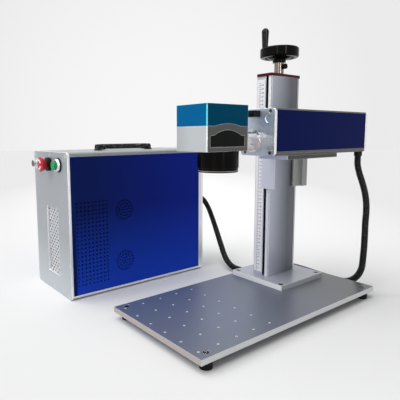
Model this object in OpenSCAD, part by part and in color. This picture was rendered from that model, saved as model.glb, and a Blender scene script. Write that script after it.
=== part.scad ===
// Laser marking machine: a marking stand with a handwheel column, an arm with a scan head, and a
// separate laser cabinet that feeds the arm through a ribbed hose.
// Millimetres. X runs right, Y runs back and Z runs up from the floor. Places below are told from
// the middle of the work plate, and place() moves the whole to the middle of its footprint.

/* [Work plate] */
// Width of the work plate
plate_w = 300; // [250:1:400]
// Depth of the work plate
plate_l = 600; // [500:1:800]
// Thickness of the work plate
plate_t = 12; // [10:0.5:20]
// Pitch of the fixing holes
grid_pitch = 50; // [30:1:55]
// Fixing holes from left to right
grid_cols = 6; // [2:1:6]
// Fixing holes from front to back
grid_rows = 5; // [2:1:6]
// Core diameter of a fixing hole
grid_hole_d = 5; // [3:0.1:8]
// Distance from the front edge to the first row of holes
grid_front = 15; // [12:1:30]
// Diameter of a rubber foot
foot_d = 25; // [20:1:40]
// Height of a rubber foot
foot_h = 17; // [12:1:30]
// Distance of a foot from the side edge
foot_inset_x = 16; // [14:1:30]
// Distance of a foot from the front or rear edge
foot_inset_y = 26; // [20:1:60]

/* [Socket screws] */
// Head diameter of a stand screw
bolt_head_d = 13; // [10:0.5:16]
// Head height of a stand screw
bolt_head_h = 8; // [6:0.5:9]
// Shank diameter of a stand screw
bolt_d = 8; // [6:0.5:9]
// Length of a stand screw under its head
bolt_grip = 14; // [10:0.5:16]
// Width of a socket over its corners
bolt_socket_d = 6.9; // [4:0.1:8]
// Depth of a socket
bolt_socket_h = 4; // [2:0.5:6]

/* [Column] */
// Distance of the lead screw to the left of the plate's middle
column_left = 69; // [50:1:100]
// Distance of the lead screw behind the plate's middle
column_back = 173; // [150:1:200]
// Foot plate from the lead screw to its left edge
ped_left = 74; // [40:1:80]
// Foot plate from the lead screw to its right edge
ped_right = 94; // [60:1:120]
// Foot plate from the lead screw to its front or rear edge
ped_half_l = 88; // [75:1:110]
// Thickness of the foot plate
ped_t = 13; // [10:0.5:25]
// Depth of the milled seat of the foot plate in the work plate
ped_seat = 0.5; // [0.25:0.25:2]
// Distance of the foot plate's screws from its edges
ped_inset = 11; // [9:0.5:14]
// Height of the column profile
column_h = 530; // [480:5:700]
// Depth of the column profile
profile_l = 116; // [110:1:130]
// Width of the column profile from its left wall to the slot's edge
profile_w = 30; // [28:0.5:36]
// Left wall of the profile, from the lead screw
profile_left = 24; // [22:0.5:28]
// Wall of the column profile
profile_wall = 6; // [4:0.5:8]
// Width of the slots that the wings run in
slot_w = 8; // [6:0.5:10]
// Thickness of the column's side cover
cover_t = 10; // [8:0.5:14]
// Depth of the rebate along the cover's outer edges
cover_rebate = 2; // [1:0.25:3]
// Width of that rebate
cover_rebate_w = 3; // [2:0.5:6]
// Crown of the cover's outer face
cover_crown = 2; // [1:0.25:2.5]
// Width of the height scale
scale_w = 26; // [15:0.5:27]
// Thickness of the height scale
scale_t = 0.8; // [0.5:0.1:1.5]
// Distance of the height scale from the column's ends
scale_end = 8; // [4:1:20]
// Thickness of the column cap
cap_t = 7; // [4:0.5:12]
// Overhang of the cap at the sides
cap_over_x = 1.5; // [1:0.1:2]
// Overhang of the cap at the front and rear
cap_over_y = 3; // [1:0.5:5]
// Corner radius of the cap
cap_r = 6; // [2:0.5:10]

/* [Lead screw and guide rods] */
// Outer diameter of the thread
thread_d = 16; // [14:0.5:18]
// Diameter of the screw's journals
journal_d = 12; // [8:0.5:13]
// Outer diameter of a screw bearing
bearing_d = 25; // [22:0.5:26]
// Height of the lower screw bearing
bearing_low_h = 8; // [6:0.5:10]
// Height of the upper screw bearing
bearing_top_h = 16; // [8:0.5:20]
// Diameter of a guide rod
rod_d = 12; // [8:0.5:14]
// Distance between the guide rods
rod_span = 72; // [66:1:78]
// Distance of the rods' plane to the left of the lead screw
rod_left = 2; // [0:0.5:3]

/* [Lock boss and clamp knob] */
// Diameter of the lock boss
boss_d = 25; // [24:1:40]
// Height of the lock boss
boss_h = 31.7; // [26:0.1:40]
// Height of the clamp stud over the cap
clamp_h = 21; // [12:0.5:24]
// Diameter of the clamp stud
stud_d = 6; // [4:0.5:8]
// Gap between the boss and the knob
stud_show = 0.5; // [0.3:0.1:1]
// Diameter of the clamp knob
knob_d = 13.5; // [10:0.5:16]
// Length of the clamp knob
knob_l = 9.5; // [6:0.5:10]

/* [Handwheel] */
// Outer diameter of the handwheel
wheel_d = 100; // [90:1:116]
// Height of the rim
rim_h = 26; // [18:0.5:30]
// Radial width of the rim
rim_w = 14; // [12:0.5:18]
// Rounding of the rim's edges
rim_r = 5; // [2:0.5:6]
// Height of the rim's lower edge over the hub's
rim_lift = 12; // [8:0.5:16]
// Diameter of the hub
hub_d = 34; // [26:1:40]
// Height of the hub
hub_h = 30; // [24:0.5:36]
// Thickness of the web at the hub
web_t = 14; // [8:0.5:18]
// Radius at which the grip stands
grip_radius = 38.5; // [34:0.5:40]
// Direction of the grip, in degrees from the right
grip_angle = 233; // [0:1:360]
// Diameter of the boss under the grip
grip_boss_d = 12; // [10:0.5:12.5]
// Height of that boss over the rim
boss_rise = 0.5; // [0.25:0.25:2]
// Diameter of the grip pin
pin_d = 6; // [4:0.5:8]
// Length of the pin in its boss
pin_seat = 20; // [12:0.5:24]
// Diameter of the grip at its foot
grip_foot_d = 15; // [12:0.5:18]
// Diameter of the grip at its top
grip_top_d = 19; // [14:0.5:24]
// Height of the grip
grip_h = 50.5; // [40:0.5:70]
// Length of the pin in the grip
pin_in_grip = 38; // [20:1:40]

/* [Carriage] */
// Height of the arm's underside over the work plate
arm_rise = 344.5; // [300:0.5:380]
// Thickness of the support plate under the arm
support_t = 10; // [6:0.5:14]
// Front edge of the support plate behind the arm's front
support_front = 50; // [30:1:60]
// Rear edge of the support plate behind the arm's front
support_back = 255; // [250:1:300]
// Height of the wings
wing_h = 82.5; // [60:0.5:84]
// Thickness of the front wing
front_wing_t = 6; // [4:0.5:7]
// Thickness of the rear wing
rear_wing_t = 20; // [10:0.5:24]
// Gap between the column's front or rear face and a wing
wing_gap = 3; // [1:0.25:4]
// Reach of the front wing to the right of the column's cover
front_wing_reach = 20; // [14:0.5:24]
// Reach of the rear wing to the right of the column's cover
rear_wing_reach = 17; // [12:0.5:20]
// Overlap of the wings with the column's front and rear, to the left of the slot
wing_lap = 2; // [1:0.5:4]
// Depth of the rear wing's side lip along the column
lip_l = 26; // [15:0.5:40]
// Thickness of that lip
lip_t = 5; // [3:0.5:6]
// Height of the carriage block
block_h = 78.5; // [50:0.5:80]
// Outer diameter of the lead nut's body
nut_d = 22; // [20:0.5:23]
// Diameter of the lead nut's flange
nut_flange_d = 25; // [23:0.5:26]
// Thickness of the lead nut's flange
nut_flange_t = 5; // [3:0.5:8]

/* [Arm] */
// Distance of the arm's left face to the left of the plate's middle
arm_left = 41; // [20:0.5:41.5]
// Width of the arm
arm_w = 100; // [90:1:120]
// Height of the arm
arm_h = 108; // [95:1:115]
// Length of the arm with its end plates
arm_l = 400; // [300:5:500]
// Thickness of the end plates
arm_plate_t = 8; // [5:0.5:12]
// Wall of the arm's housing
arm_wall = 5; // [4:0.5:8]
// Corner radius of the arm's end plates
arm_r = 8; // [3:0.5:10]
// Corner radius of the arm's housing
housing_r = 3; // [1.5:0.5:8]
// Thickness of the arm's side panels
arm_panel_t = 2; // [1:0.25:2.5]
// Distance of the side panels from the arm's underside
arm_panel_low = 10; // [9:0.5:16]
// Distance of the side panels from the arm's top
arm_panel_top = 4; // [4:0.5:16]
// Width of the groove under the side panels
arm_groove = 1.5; // [1:0.25:2]
// Height of that groove over the arm's underside
arm_groove_z = 5; // [3.5:0.25:7]
// Width of the corner ribs inside the housing
arm_rib = 20; // [16:1:26]
// Distance of the end plates' screws from the sides
arm_screw_x = 13; // [10:0.5:16]
// Distance of the end plates' screws from the underside and top
arm_screw_z = 7; // [6:0.5:10]
// Head diameter of a small screw
screw_head_d = 8; // [6:0.5:9]
// Head height of a small screw
screw_head_h = 3; // [2:0.25:3.5]
// Shank diameter of a small screw
screw_d = 4; // [3:0.25:5]
// Length of a small screw under its head
screw_grip = 12; // [10:0.5:16]
// Height of the hose gland under the arm and behind the cabinet
gland_h = 12; // [8:0.5:20]
// Outer diameter of the hose glands
gland_d = 21; // [19:0.5:24]
// Distance of the hose gland from the arm's rear
gland_back = 20; // [18:0.5:30]
// Distance of the hose gland from the arm's right face
gland_right = 11; // [10.8:0.1:20]

/* [Scan head] */
// Width of the scan head
head_w = 97.3; // [85:0.1:110]
// Length of the scan head
head_l = 121.5; // [115:0.5:140]
// Height of the scan head
head_h = 97.3; // [90:0.1:110]
// Height of the head's lower casting
head_base_h = 52.4; // [50:0.1:60]
// Corner radius of the head in plan
head_r = 3; // [1:0.5:8]
// Wall of the head
head_wall = 4; // [3.5:0.5:6]
// Gap between the head and the arm
head_gap = 72.5; // [50:0.5:90]
// Height of the head over the arm's underside
head_rise = 14; // [5:0.5:20]
// Distance of the head's left side to the left of the optical axis
head_left = 54.4; // [46:0.1:60]
// Distance of the optical axis to the right of the plate's middle
optic_right = 4; // [0:0.5:10]
// Distance of the optical axis from the head's rear
lens_back = 48.5; // [46:0.5:60]
// Height of the beam over the head's underside
beam_h = 20.3; // [18:0.1:22]
// Distance between the two scan mirrors
mirror_gap = 16; // [14:0.5:18]
// Start of the side windows behind the head's front
window_front = 9.5; // [6:0.5:14]
// Length of the side windows
window_l = 100; // [90:1:104]
// Lower edge of the side windows over the head's underside
window_low = 9.5; // [8:0.5:12]
// Height of the windows' shoulders
window_shoulder = 33; // [28:0.5:36]
// Height of the windows' arch
window_peak = 44.4; // [40:0.1:46]
// Width of the windows' arch
window_arch_w = 80; // [60:1:84]
// Height of the frame's arch, over the windows
frame_peak = 57.7; // [55:0.1:60]
// Width of the frame's arch
frame_arch_w = 74; // [50:1:80]
// Thickness of a window pane
pane_t = 1.5; // [1:0.25:2]
// Diameter of the lens barrel
lens_d = 90; // [70:1:94]
// Height of the lens barrel
lens_h = 45.1; // [30:0.1:60]
// Height of the ring at the lens barrel's foot
lens_ring_h = 8; // [4:0.5:12]
// Step of that ring
lens_ring_step = 1.5; // [0.5:0.25:3]
// Width of the groove over that ring
lens_groove = 1.2; // [0.8:0.1:2]
// Wall of the lens barrel
lens_wall = 8; // [6:0.5:12]
// Thickness of the lens glass
glass_t = 6; // [4:0.5:10]
// Diameter of the beam tube between arm and head
tube_d = 45; // [40:0.5:50]
// Diameter of the beam tube's flange
tube_flange_d = 52; // [50:0.5:56]
// Thickness of that flange
tube_flange_t = 12; // [6:0.5:16]
// Bore of the beam tube
tube_bore = 36; // [30:0.5:38]
// Width of the plug lead between arm and head
lead_w = 33; // [20:0.5:40]
// Height of the plug lead's shells
lead_h = 14; // [8:0.5:16]
// Length of each plug shell
lead_shell = 22; // [14:0.5:26]

/* [Cabinet] */
// Width of the cabinet
cab_w = 220; // [200:1:260]
// Depth of the cabinet
cab_l = 451; // [420:1:520]
// Height of the cabinet
cab_h = 381; // [360:1:440]
// Gap between the cabinet and the work plate
cab_gap = 157; // [120:1:250]
// Distance of the cabinet's front before the work plate's front
cab_lead = 33; // [0:1:60]
// Thickness of the cabinet's end plates
cab_plate_t = 6; // [4:0.5:10]
// Corner radius of the cabinet
cab_r = 9; // [4:0.5:12]
// Wall of the cabinet's frame
cab_wall = 4; // [3.5:0.5:6]
// Width of the frame's corner posts
post_w = 16; // [15:0.5:20]
// Margin around the side panels
panel_margin = 11; // [10:0.5:13]
// Thickness of the side panels
panel_t = 2; // [1:0.25:2.5]
// Diameter of the vent holes
vent_hole_d = 4; // [3:0.25:5]
// Pitch of the vent holes
vent_hole_pitch = 10.8; // [8:0.1:11.5]
// Columns of vent holes
vent_cols = 9; // [4:1:9]
// Rows of vent holes
vent_rows = 21; // [10:1:21]
// First column of vent holes behind the cabinet's front
vent_first_y = 22; // [20:0.5:26]
// First row of vent holes over the floor
vent_first_z = 36; // [30:0.5:50]
// Distance of the fans behind the cabinet's front
fan_back = 163; // [155:1:200]
// Height of the lower fan
fan_low_z = 80; // [60:1:110]
// Height of the upper fan
fan_top_z = 222; // [190:1:280]
// Width of a fan
fan_w = 60; // [50:1:64]
// Depth of a fan
fan_t = 25; // [20:1:30]
// Width of the front vent
vent_w = 75; // [60:1:90]
// Height of the front vent
vent_h = 184; // [150:1:200]
// Middle of the front vent, from the cabinet's left side
vent_x = 115; // [80:1:130]
// Lower edge of the front vent
vent_z = 50; // [40:1:70]
// Width of a slot of the vent mesh
mesh_slot_w = 5.4; // [4:0.1:8]
// Height of a slot of the vent mesh
mesh_slot_h = 10; // [6:0.5:14]
// Web between the slots of the vent mesh
mesh_web = 2.2; // [1.5:0.1:4]
// Thickness of the vent mesh
mesh_t = 1.5; // [1:0.25:3]
// Distance of the end plates' screws from the sides
cab_screw_x = 10; // [8:0.5:11]
// Distance of the end plates' screws from the underside and top
cab_screw_z = 9; // [8:0.5:11]

/* [Controls] */
// Distance of the controls under the cabinet's top
control_drop = 33; // [31:1:60]
// Key switch from the cabinet's left side
key_x = 47; // [30:1:55]
// Emergency stop from the cabinet's left side
estop_x = 109; // [95:1:120]
// Start button from the cabinet's left side
start_x = 168; // [155:1:190]
// Diameter of the controls' bodies behind the plate
control_body_d = 22; // [16:0.5:24]
// Length of the controls' bodies behind the plate
control_body_l = 34; // [20:1:40]
// Diameter of the key switch's bezel
key_bezel_d = 29; // [26:0.5:32]
// Length of the key switch's bezel
key_bezel_l = 13; // [8:0.5:18]
// Diameter of the key switch's barrel
key_barrel_d = 18; // [14:0.5:20]
// Length that the barrel stands out of its bezel
key_barrel_out = 10; // [4:0.5:16]
// Diameter of the emergency stop's collar
estop_collar_d = 36; // [28:0.5:40]
// Thickness of the emergency stop's collar
estop_collar_t = 9; // [5:0.5:12]
// Diameter of the mushroom
mushroom_d = 40; // [36:0.5:46]
// Height of the mushroom
mushroom_h = 16; // [12:0.5:20]
// Travel of the mushroom
estop_travel = 5; // [3:0.5:6]
// Diameter of the start button's collar
start_collar_d = 30; // [26:0.5:32]
// Thickness of the start button's collar
start_collar_t = 10; // [6:0.5:12]
// Diameter of the green cap
start_cap_d = 21; // [16:0.5:22]
// Length that the green cap stands out of its collar
start_cap_out = 8; // [5:0.5:10]
// Travel of the green cap
start_travel = 3; // [2:0.5:4]

/* [Carry handle] */
// Middle of the handle behind the cabinet's front
handle_back = 222; // [180:1:260]
// Distance between the handle's ears
handle_span = 160; // [120:1:180]
// Width of an ear along the cabinet
ear_l = 12; // [8:0.5:16]
// Width of an ear across the cabinet
ear_w = 24; // [20:0.5:30]
// Height of the handle's pivot over the cabinet's top
pivot_h = 10; // [9:0.5:14]
// Thickness of the handle's bar
bar_d = 15; // [10:0.5:17]
// Reach of the bar from its pivot
bar_reach = 35; // [30:0.5:50]
// Diameter of the handle's pivots
pivot_d = 7; // [5:0.5:8]

/* [Hose] */
// Outer diameter of the hose
hose_d = 18; // [16:0.5:20]
// Depth of the hose's ribs
hose_rib = 1.4; // [0.8:0.1:2]
// Bore of the hose
hose_bore = 11; // [8:0.5:12]
// Ribs along the hose
hose_ribs = 180; // [60:1:200]

/* [Hidden] */
$fn = 48;
cut = 1;
run_gap = 0.3;
fit_gap = 0.15;
bolt_gap = 0.5;
slide_gap = 0.5;

plate_top = foot_h + plate_t;
screw_x = -column_left;
screw_y = column_back;
ped_top = plate_top + ped_t;
column_top = ped_top + column_h;
cap_top = column_top + cap_t;
boss_top = cap_top + boss_h;
hub_z = boss_top + run_gap;
rim_z = hub_z + rim_lift;
profile_x = screw_x - profile_left;
slot_x = profile_x + profile_w;
cover_x = slot_x + slot_w;
cover_face = cover_x + cover_t;
profile_front = screw_y - profile_l / 2;
profile_rear = screw_y + profile_l / 2;
rod_x = screw_x - rod_left;
shaft_end = 1;

arm_z = plate_top + arm_rise;
arm_x = -arm_left;
arm_right = arm_x + arm_w;
support_z = arm_z - support_t;
wing_z = support_z - wing_h;
block_x = profile_x + profile_wall + slide_gap;
block_right = cover_x - slide_gap;
block_front = profile_front + profile_wall + wing_gap / 3;
block_rear = profile_rear - profile_wall - wing_gap / 3;
block_z = support_z - (wing_h + block_h) / 2;
block_top = block_z + block_h;
tongue_inset = 2;
tongue_z = block_z + tongue_inset;
tongue_h = block_h - 2 * tongue_inset;
front_wing_y = profile_front - wing_gap - front_wing_t;
rear_wing_y = profile_rear + wing_gap;
wing_x = slot_x - wing_lap;
front_wing_right = cover_face + front_wing_reach;
rear_wing_right = cover_face + rear_wing_reach;
lip_gap = 3;
lip_x = cover_face + lip_gap;
lip_web_t = 3;
support_slot_x = cover_face + slide_gap + cover_crown + cover_rebate + slide_gap;

beam_x = optic_right;
head_x = beam_x - head_left;
head_rear = -head_gap;
head_front = head_rear - head_l;
head_z = arm_z + head_rise;
split_z = head_z + head_base_h;
lens_y = head_rear - lens_back;
beam_z = head_z + beam_h;
head_floor = 5;

cab_right = -plate_w / 2 - cab_gap;
cab_x = cab_right - cab_w;
cab_front = -plate_l / 2 - cab_lead;
cab_rear = cab_front + cab_l;
frame_front = cab_front + cab_plate_t;
frame_l = cab_l - 2 * cab_plate_t;
fan_y = cab_front + fan_back;

estop_gap = 1;
estop_out = estop_collar_t + estop_travel + estop_gap + mushroom_h;
centre_x = (cab_x + plate_w / 2) / 2;
centre_y = (cab_front - estop_out + arm_l) / 2;

control_z = cab_h - control_drop;

c_plate = [0.42, 0.45, 0.52];
c_alu = [0.75, 0.76, 0.79];
c_steel = [0.62, 0.63, 0.66];
c_dark = [0.09, 0.09, 0.1];
c_navy = [0.07, 0.11, 0.42];
c_blue = [0.02, 0.33, 0.5];
c_red = [0.75, 0.12, 0.2];
c_green = [0.05, 0.6, 0.35];
c_chrome = [0.85, 0.86, 0.88];

// Placing and plain forms
module place() translate([-centre_x, -centre_y, 0]) children();

module xz_plate(y0, t) translate([0, y0 + t, 0]) rotate([90, 0, 0]) linear_extrude(t) children();

module yz_plate(x0, t) translate([x0, 0, 0]) rotate([90, 0, 90]) linear_extrude(t) children();

module box(x, y, z, w, l, h) translate([x, y, z]) cube([w, l, h]);

module x_rod(x, y, z, d, l) translate([x, y, z]) rotate([0, 90, 0]) cylinder(d = d, h = l);

module y_rod(x, y, z, d, l) translate([x, y, z]) rotate([-90, 0, 0]) cylinder(d = d, h = l);

module z_rod(x, y, z, d, l) translate([x, y, z]) cylinder(d = d, h = l);

module round_rect(x, y, w, h, r) {
    translate([x + r, y]) square([w - 2 * r, h]);
    translate([x, y + r]) square([w, h - 2 * r]);
    for (cx = [x + r, x + w - r], cy = [y + r, y + h - r])
        translate([cx, cy]) circle(r);
}

// Stand
foot_spots = [for (sx = [-1, 1], sy = [-1, 1])
    [sx * (plate_w / 2 - foot_inset_x), sy * (plate_l / 2 - foot_inset_y)]];
ped_spots = [for (x = [screw_x - ped_left + ped_inset, screw_x + ped_right - ped_inset],
    y = [screw_y - ped_half_l + ped_inset, screw_y + ped_half_l - ped_inset]) [x, y]];
bolt_hole_d = bolt_d + 2 * bolt_gap;
bolt_seat_d = bolt_head_d + 2 * bolt_gap;
foot_bore_h = bolt_head_h + bolt_grip - plate_t + bolt_gap;

module bolt_hole(top, depth) {
    translate([0, 0, top - bolt_head_h]) cylinder(d = bolt_seat_d, h = bolt_head_h + cut);
    translate([0, 0, top - depth]) cylinder(d = bolt_hole_d, h = depth);
}

module bolt(top) difference() {
    union() {
        translate([0, 0, top - bolt_head_h]) cylinder(d = bolt_head_d, h = bolt_head_h);
        translate([0, 0, top - bolt_head_h - bolt_grip]) cylinder(d = bolt_d, h = bolt_grip + cut);
    }
    translate([0, 0, top - bolt_socket_h])
        cylinder(d = bolt_socket_d, h = bolt_socket_h + cut, $fn = 6);
}

module rubber_feet() color(c_dark) place()
    for (p = foot_spots) translate(p) difference() {
        cylinder(d = foot_d, h = foot_h);
        translate([0, 0, foot_h - foot_bore_h]) cylinder(d = bolt_hole_d, h = foot_bore_h + cut);
    }

module base_plate() color(c_plate) place() difference() {
    translate([-plate_w / 2, -plate_l / 2, foot_h]) cube([plate_w, plate_l, plate_t]);
    for (i = [0:grid_cols - 1], j = [0:grid_rows - 1])
        translate([(i - (grid_cols - 1) / 2) * grid_pitch,
            -plate_l / 2 + grid_front + j * grid_pitch, foot_h - cut])
            cylinder(d = grid_hole_d, h = plate_t + 2 * cut);
    for (p = foot_spots) translate(p) bolt_hole(plate_top, plate_t + cut);
    for (p = ped_spots) translate([p.x, p.y, foot_h - cut])
        cylinder(d = bolt_hole_d, h = plate_t + 2 * cut);
    ped_block(fit_gap, cut);
}

module stand_screws() color(c_steel) place() {
    for (p = foot_spots) translate(p) bolt(plate_top);
    for (p = ped_spots) translate(p) bolt(ped_top);
}

module ped_block(gap, h) box(screw_x - ped_left - gap, screw_y - ped_half_l - gap,
    plate_top - ped_seat, ped_left + ped_right + 2 * gap, 2 * (ped_half_l + gap), ped_seat + h);

module column_base() color(c_plate) place() difference() {
    ped_block(0, ped_t);
    for (p = ped_spots) translate(p) bolt_hole(ped_top, ped_t + cut);
}

module column_profile() color(c_alu) place() translate([0, 0, ped_top])
    linear_extrude(column_h) difference() {
        translate([profile_x, profile_front]) square([profile_w, profile_l]);
        translate([profile_x + profile_wall, profile_front + profile_wall])
            square([profile_w, profile_l - 2 * profile_wall]);
    }

// The cover's outer face is a flat arc between its two rebates.
module column_cover() color(c_alu) place() {
    face_l = profile_l - 2 * cover_rebate_w;
    crown_r = (face_l * face_l / 4 + cover_crown * cover_crown) / (2 * cover_crown);
    translate([0, 0, ped_top]) linear_extrude(column_h) {
        translate([cover_x, profile_front]) square([cover_t - cover_rebate, profile_l]);
        intersection() {
            translate([cover_x, profile_front + cover_rebate_w])
                square([cover_t + cover_crown, face_l]);
            translate([cover_face + cover_crown - crown_r, screw_y]) circle(crown_r, $fn = 720);
        }
    }
}

module column_scale() color(c_chrome) place()
    box(profile_x + (profile_w - scale_w) / 2, profile_front - scale_t, ped_top + scale_end,
        scale_w, scale_t, column_h - 2 * scale_end);

module column_cap() color(c_red * 0.5) place() difference() {
    translate([0, 0, column_top]) linear_extrude(cap_t)
        round_rect(profile_x - cap_over_x, profile_front - cap_over_y,
            cover_face - profile_x + 2 * cap_over_x, profile_l + 2 * cap_over_y, cap_r);
    z_rod(screw_x, screw_y, column_top - cut, journal_d + 2 * run_gap, cap_t + 2 * cut);
}

module guide_rods() color(c_chrome) place()
    for (s = [-1, 1]) z_rod(rod_x, screw_y + s * rod_span / 2, ped_top, rod_d, column_h);

module ring(z, d, bore, h) translate([screw_x, screw_y, z]) difference() {
    cylinder(d = d, h = h);
    translate([0, 0, -cut]) cylinder(d = bore, h = h + 2 * cut);
}

module screw_bearings() color(c_steel) place() {
    ring(ped_top, bearing_d, journal_d + 2 * run_gap, bearing_low_h);
    ring(column_top - bearing_top_h, bearing_d, journal_d + 2 * run_gap, bearing_top_h);
}

module lock_boss() color(c_steel) place() difference() {
    ring(cap_top, boss_d, journal_d + 2 * run_gap, boss_h);
    x_rod(screw_x, screw_y, cap_top + clamp_h, stud_d + 2 * run_gap, boss_d);
}

// Lead screw, handwheel and clamp
thread_z = ped_top + bearing_low_h + run_gap;
thread_top = column_top - bearing_top_h - run_gap;
shaft_top = hub_z + hub_h - shaft_end;

module lead_screw() color(c_chrome) place() translate([screw_x, screw_y, 0]) {
    translate([0, 0, ped_top + run_gap]) cylinder(d = journal_d, h = shaft_top - ped_top - run_gap);
    translate([0, 0, thread_z]) cylinder(d = thread_d, h = thread_top - thread_z);
}

rim_in = wheel_d / 2 - rim_w;
grip_face = rim_z + rim_h + boss_rise;
pin_z = grip_face - pin_seat;
grip_z = grip_face + run_gap;
web_mid_share = 0.45;
web_top = hub_z + hub_h - rim_r;
boss_z = web_top - web_t / 4;

module wheel_section() {
    bore_r = journal_d / 2 + fit_gap;
    translate([bore_r, hub_z]) square([hub_d / 2 - bore_r, hub_h]);
    round_rect(rim_in, rim_z, rim_w, rim_h, rim_r);
    polygon([[hub_d / 2 - cut, web_top - web_t - rim_lift * web_mid_share],
        [(hub_d / 2 + rim_in) / 2, web_top - web_t - rim_lift * web_mid_share / 3],
        [rim_in + cut, rim_z + rim_r], [rim_in + cut, web_top], [hub_d / 2 - cut, web_top]]);
}

module at_grip(z) translate([screw_x, screw_y, z]) rotate(grip_angle)
    translate([grip_radius, 0, 0]) children();

module handwheel() color(c_dark) place() difference() {
    union() {
        translate([screw_x, screw_y, 0]) rotate_extrude($fn = 96) wheel_section();
        at_grip(boss_z) cylinder(d = grip_boss_d, h = grip_face - boss_z);
    }
    at_grip(pin_z) cylinder(d = pin_d + 2 * fit_gap, h = pin_seat + cut);
}

module grip_pin() color(c_steel) place()
    at_grip(pin_z) cylinder(d = pin_d, h = pin_seat + pin_in_grip);

module wheel_grip() color(c_dark) place() at_grip(grip_z) difference() {
    union() {
        cylinder(d1 = grip_foot_d, d2 = grip_top_d, h = grip_h - grip_top_d / 2);
        translate([0, 0, grip_h - grip_top_d / 2]) sphere(d = grip_top_d);
    }
    translate([0, 0, -cut]) cylinder(d = pin_d + 2 * run_gap, h = pin_in_grip + cut);
}

knob_x = screw_x + boss_d / 2 + stud_show;
module clamp_knob() color(c_dark) place() {
    stud_x = screw_x + journal_d / 2 + run_gap;
    x_rod(stud_x, screw_y, cap_top + clamp_h, stud_d, knob_x - stud_x + cut);
    x_rod(knob_x, screw_y, cap_top + clamp_h, knob_d, knob_l);
}

// Carriage
module carriage_block() color(c_alu) place() difference() {
    box(block_x, block_front, block_z, block_right - block_x, block_rear - block_front, block_h);
    for (s = [-1, 1])
        z_rod(rod_x, screw_y + s * rod_span / 2, block_z - cut, rod_d + 2 * run_gap,
            block_h + 2 * cut);
    z_rod(screw_x, screw_y, block_z - cut, nut_d + 2 * fit_gap, block_h + 2 * cut);
}

module lead_nut() color([0.72, 0.55, 0.25]) place() translate([screw_x, screw_y, block_z])
    difference() {
        union() {
            cylinder(d = nut_d, h = block_h + cut);
            translate([0, 0, block_h]) cylinder(d = nut_flange_d, h = nut_flange_t);
        }
        translate([0, 0, -cut])
            cylinder(d = thread_d + 2 * run_gap, h = block_h + nut_flange_t + 2 * cut);
    }

module tongue(y0, y1) box(slot_x + slide_gap, y0, tongue_z, slot_w - 2 * slide_gap, y1 - y0,
    tongue_h);

module front_wing() color(c_alu) place() {
    box(wing_x, front_wing_y, wing_z, front_wing_right - wing_x, front_wing_t, wing_h);
    tongue(front_wing_y + front_wing_t - cut, block_front);
}

module rear_wing() color(c_alu) place() {
    box(wing_x, rear_wing_y, wing_z, rear_wing_right - wing_x, rear_wing_t, wing_h);
    tongue(block_rear, rear_wing_y + cut);
    box(lip_x + lip_t - lip_web_t, profile_rear - cut, wing_z, lip_web_t,
        rear_wing_y - profile_rear + 2 * cut, wing_h);
    box(lip_x, profile_rear - lip_l, wing_z, lip_t, lip_l, wing_h);
}

module support_plate() color(c_alu) place() difference() {
    translate([0, 0, support_z]) linear_extrude(support_t)
        polygon([[front_wing_right, support_front], [arm_right, support_front],
            [arm_right, support_back], [wing_x, support_back], [wing_x, rear_wing_y],
            [support_slot_x, rear_wing_y], [support_slot_x, front_wing_y + front_wing_t],
            [wing_x, front_wing_y + front_wing_t], [wing_x, front_wing_y],
            [front_wing_right, front_wing_y]]);
    for (p = support_spots) translate([p.x, p.y, support_z])
        small_screw_hole(support_t + cut);
}

// Small screws point up from their heads, which lie flush in a seat.
small_hole_d = screw_d + 2 * run_gap;
small_seat_d = screw_head_d + 2 * run_gap;
screw_socket_d = 3.4;
module small_screw_hole(depth) {
    translate([0, 0, -cut]) cylinder(d = small_seat_d, h = screw_head_h + cut);
    cylinder(d = small_hole_d, h = depth);
}

module small_screw() difference() {
    union() {
        cylinder(d = screw_head_d, h = screw_head_h);
        cylinder(d = screw_d, h = screw_head_h + screw_grip);
    }
    translate([0, 0, -cut])
        cylinder(d = screw_socket_d, h = screw_head_h / 2 + cut, $fn = 6);
}

// Arm
arm_inner_w = arm_w - 2 * arm_wall;
arm_front_spots = [for (x = [arm_x + arm_screw_x, arm_right - arm_screw_x],
    z = [arm_z + arm_screw_z, arm_z + arm_h - arm_screw_z]) [x, z]];
support_edge = 9;
support_spots = [for (y = [support_front + support_edge, (support_front + support_back) / 2,
    support_back - support_edge]) [arm_right - support_edge, y]];
housing_l = arm_l - 2 * arm_plate_t;
arm_top = arm_z + arm_h;
panel_h = arm_h - arm_panel_low - arm_panel_top;

module arm_section() difference() {
    round_rect(arm_x, arm_z, arm_w, arm_h, housing_r);
    difference() {
        translate([arm_x + arm_wall, arm_z + arm_wall])
            square([arm_inner_w, arm_h - 2 * arm_wall]);
        for (x = [arm_x, arm_right - arm_rib], z = [arm_z, arm_top - arm_rib / 2 - arm_wall / 2])
            translate([x, z]) square([arm_rib, arm_rib / 2 + arm_wall / 2]);
    }
    for (x = [arm_x - cut, arm_right - arm_panel_t]) {
        translate([x, arm_z + arm_panel_low]) square([arm_panel_t + cut, panel_h]);
        translate([x + (x > 0 ? arm_panel_t - arm_groove : 0), arm_z + arm_groove_z])
            square([arm_groove + cut, arm_groove]);
    }
}

module arm_housing() color(c_alu) place() difference() {
    xz_plate(arm_plate_t, housing_l) arm_section();
    for (p = arm_front_spots, y = [arm_plate_t - cut, arm_l - arm_plate_t - screw_grip])
        y_rod(p.x, y, p.y, small_hole_d, screw_grip + cut);
    for (p = support_spots)
        z_rod(p.x, p.y, arm_z - cut, small_hole_d, screw_grip - support_t + screw_head_h + 2 * cut);
    z_rod(arm_right - gland_right, arm_l - gland_back, arm_z - cut, gland_d - gland_h / 2,
        arm_h / 4);
}

module arm_side_panels() color(c_navy) place()
    for (x = [arm_x, arm_right - arm_panel_t])
        box(x, arm_plate_t, arm_z + arm_panel_low, arm_panel_t, housing_l, panel_h);

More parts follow.
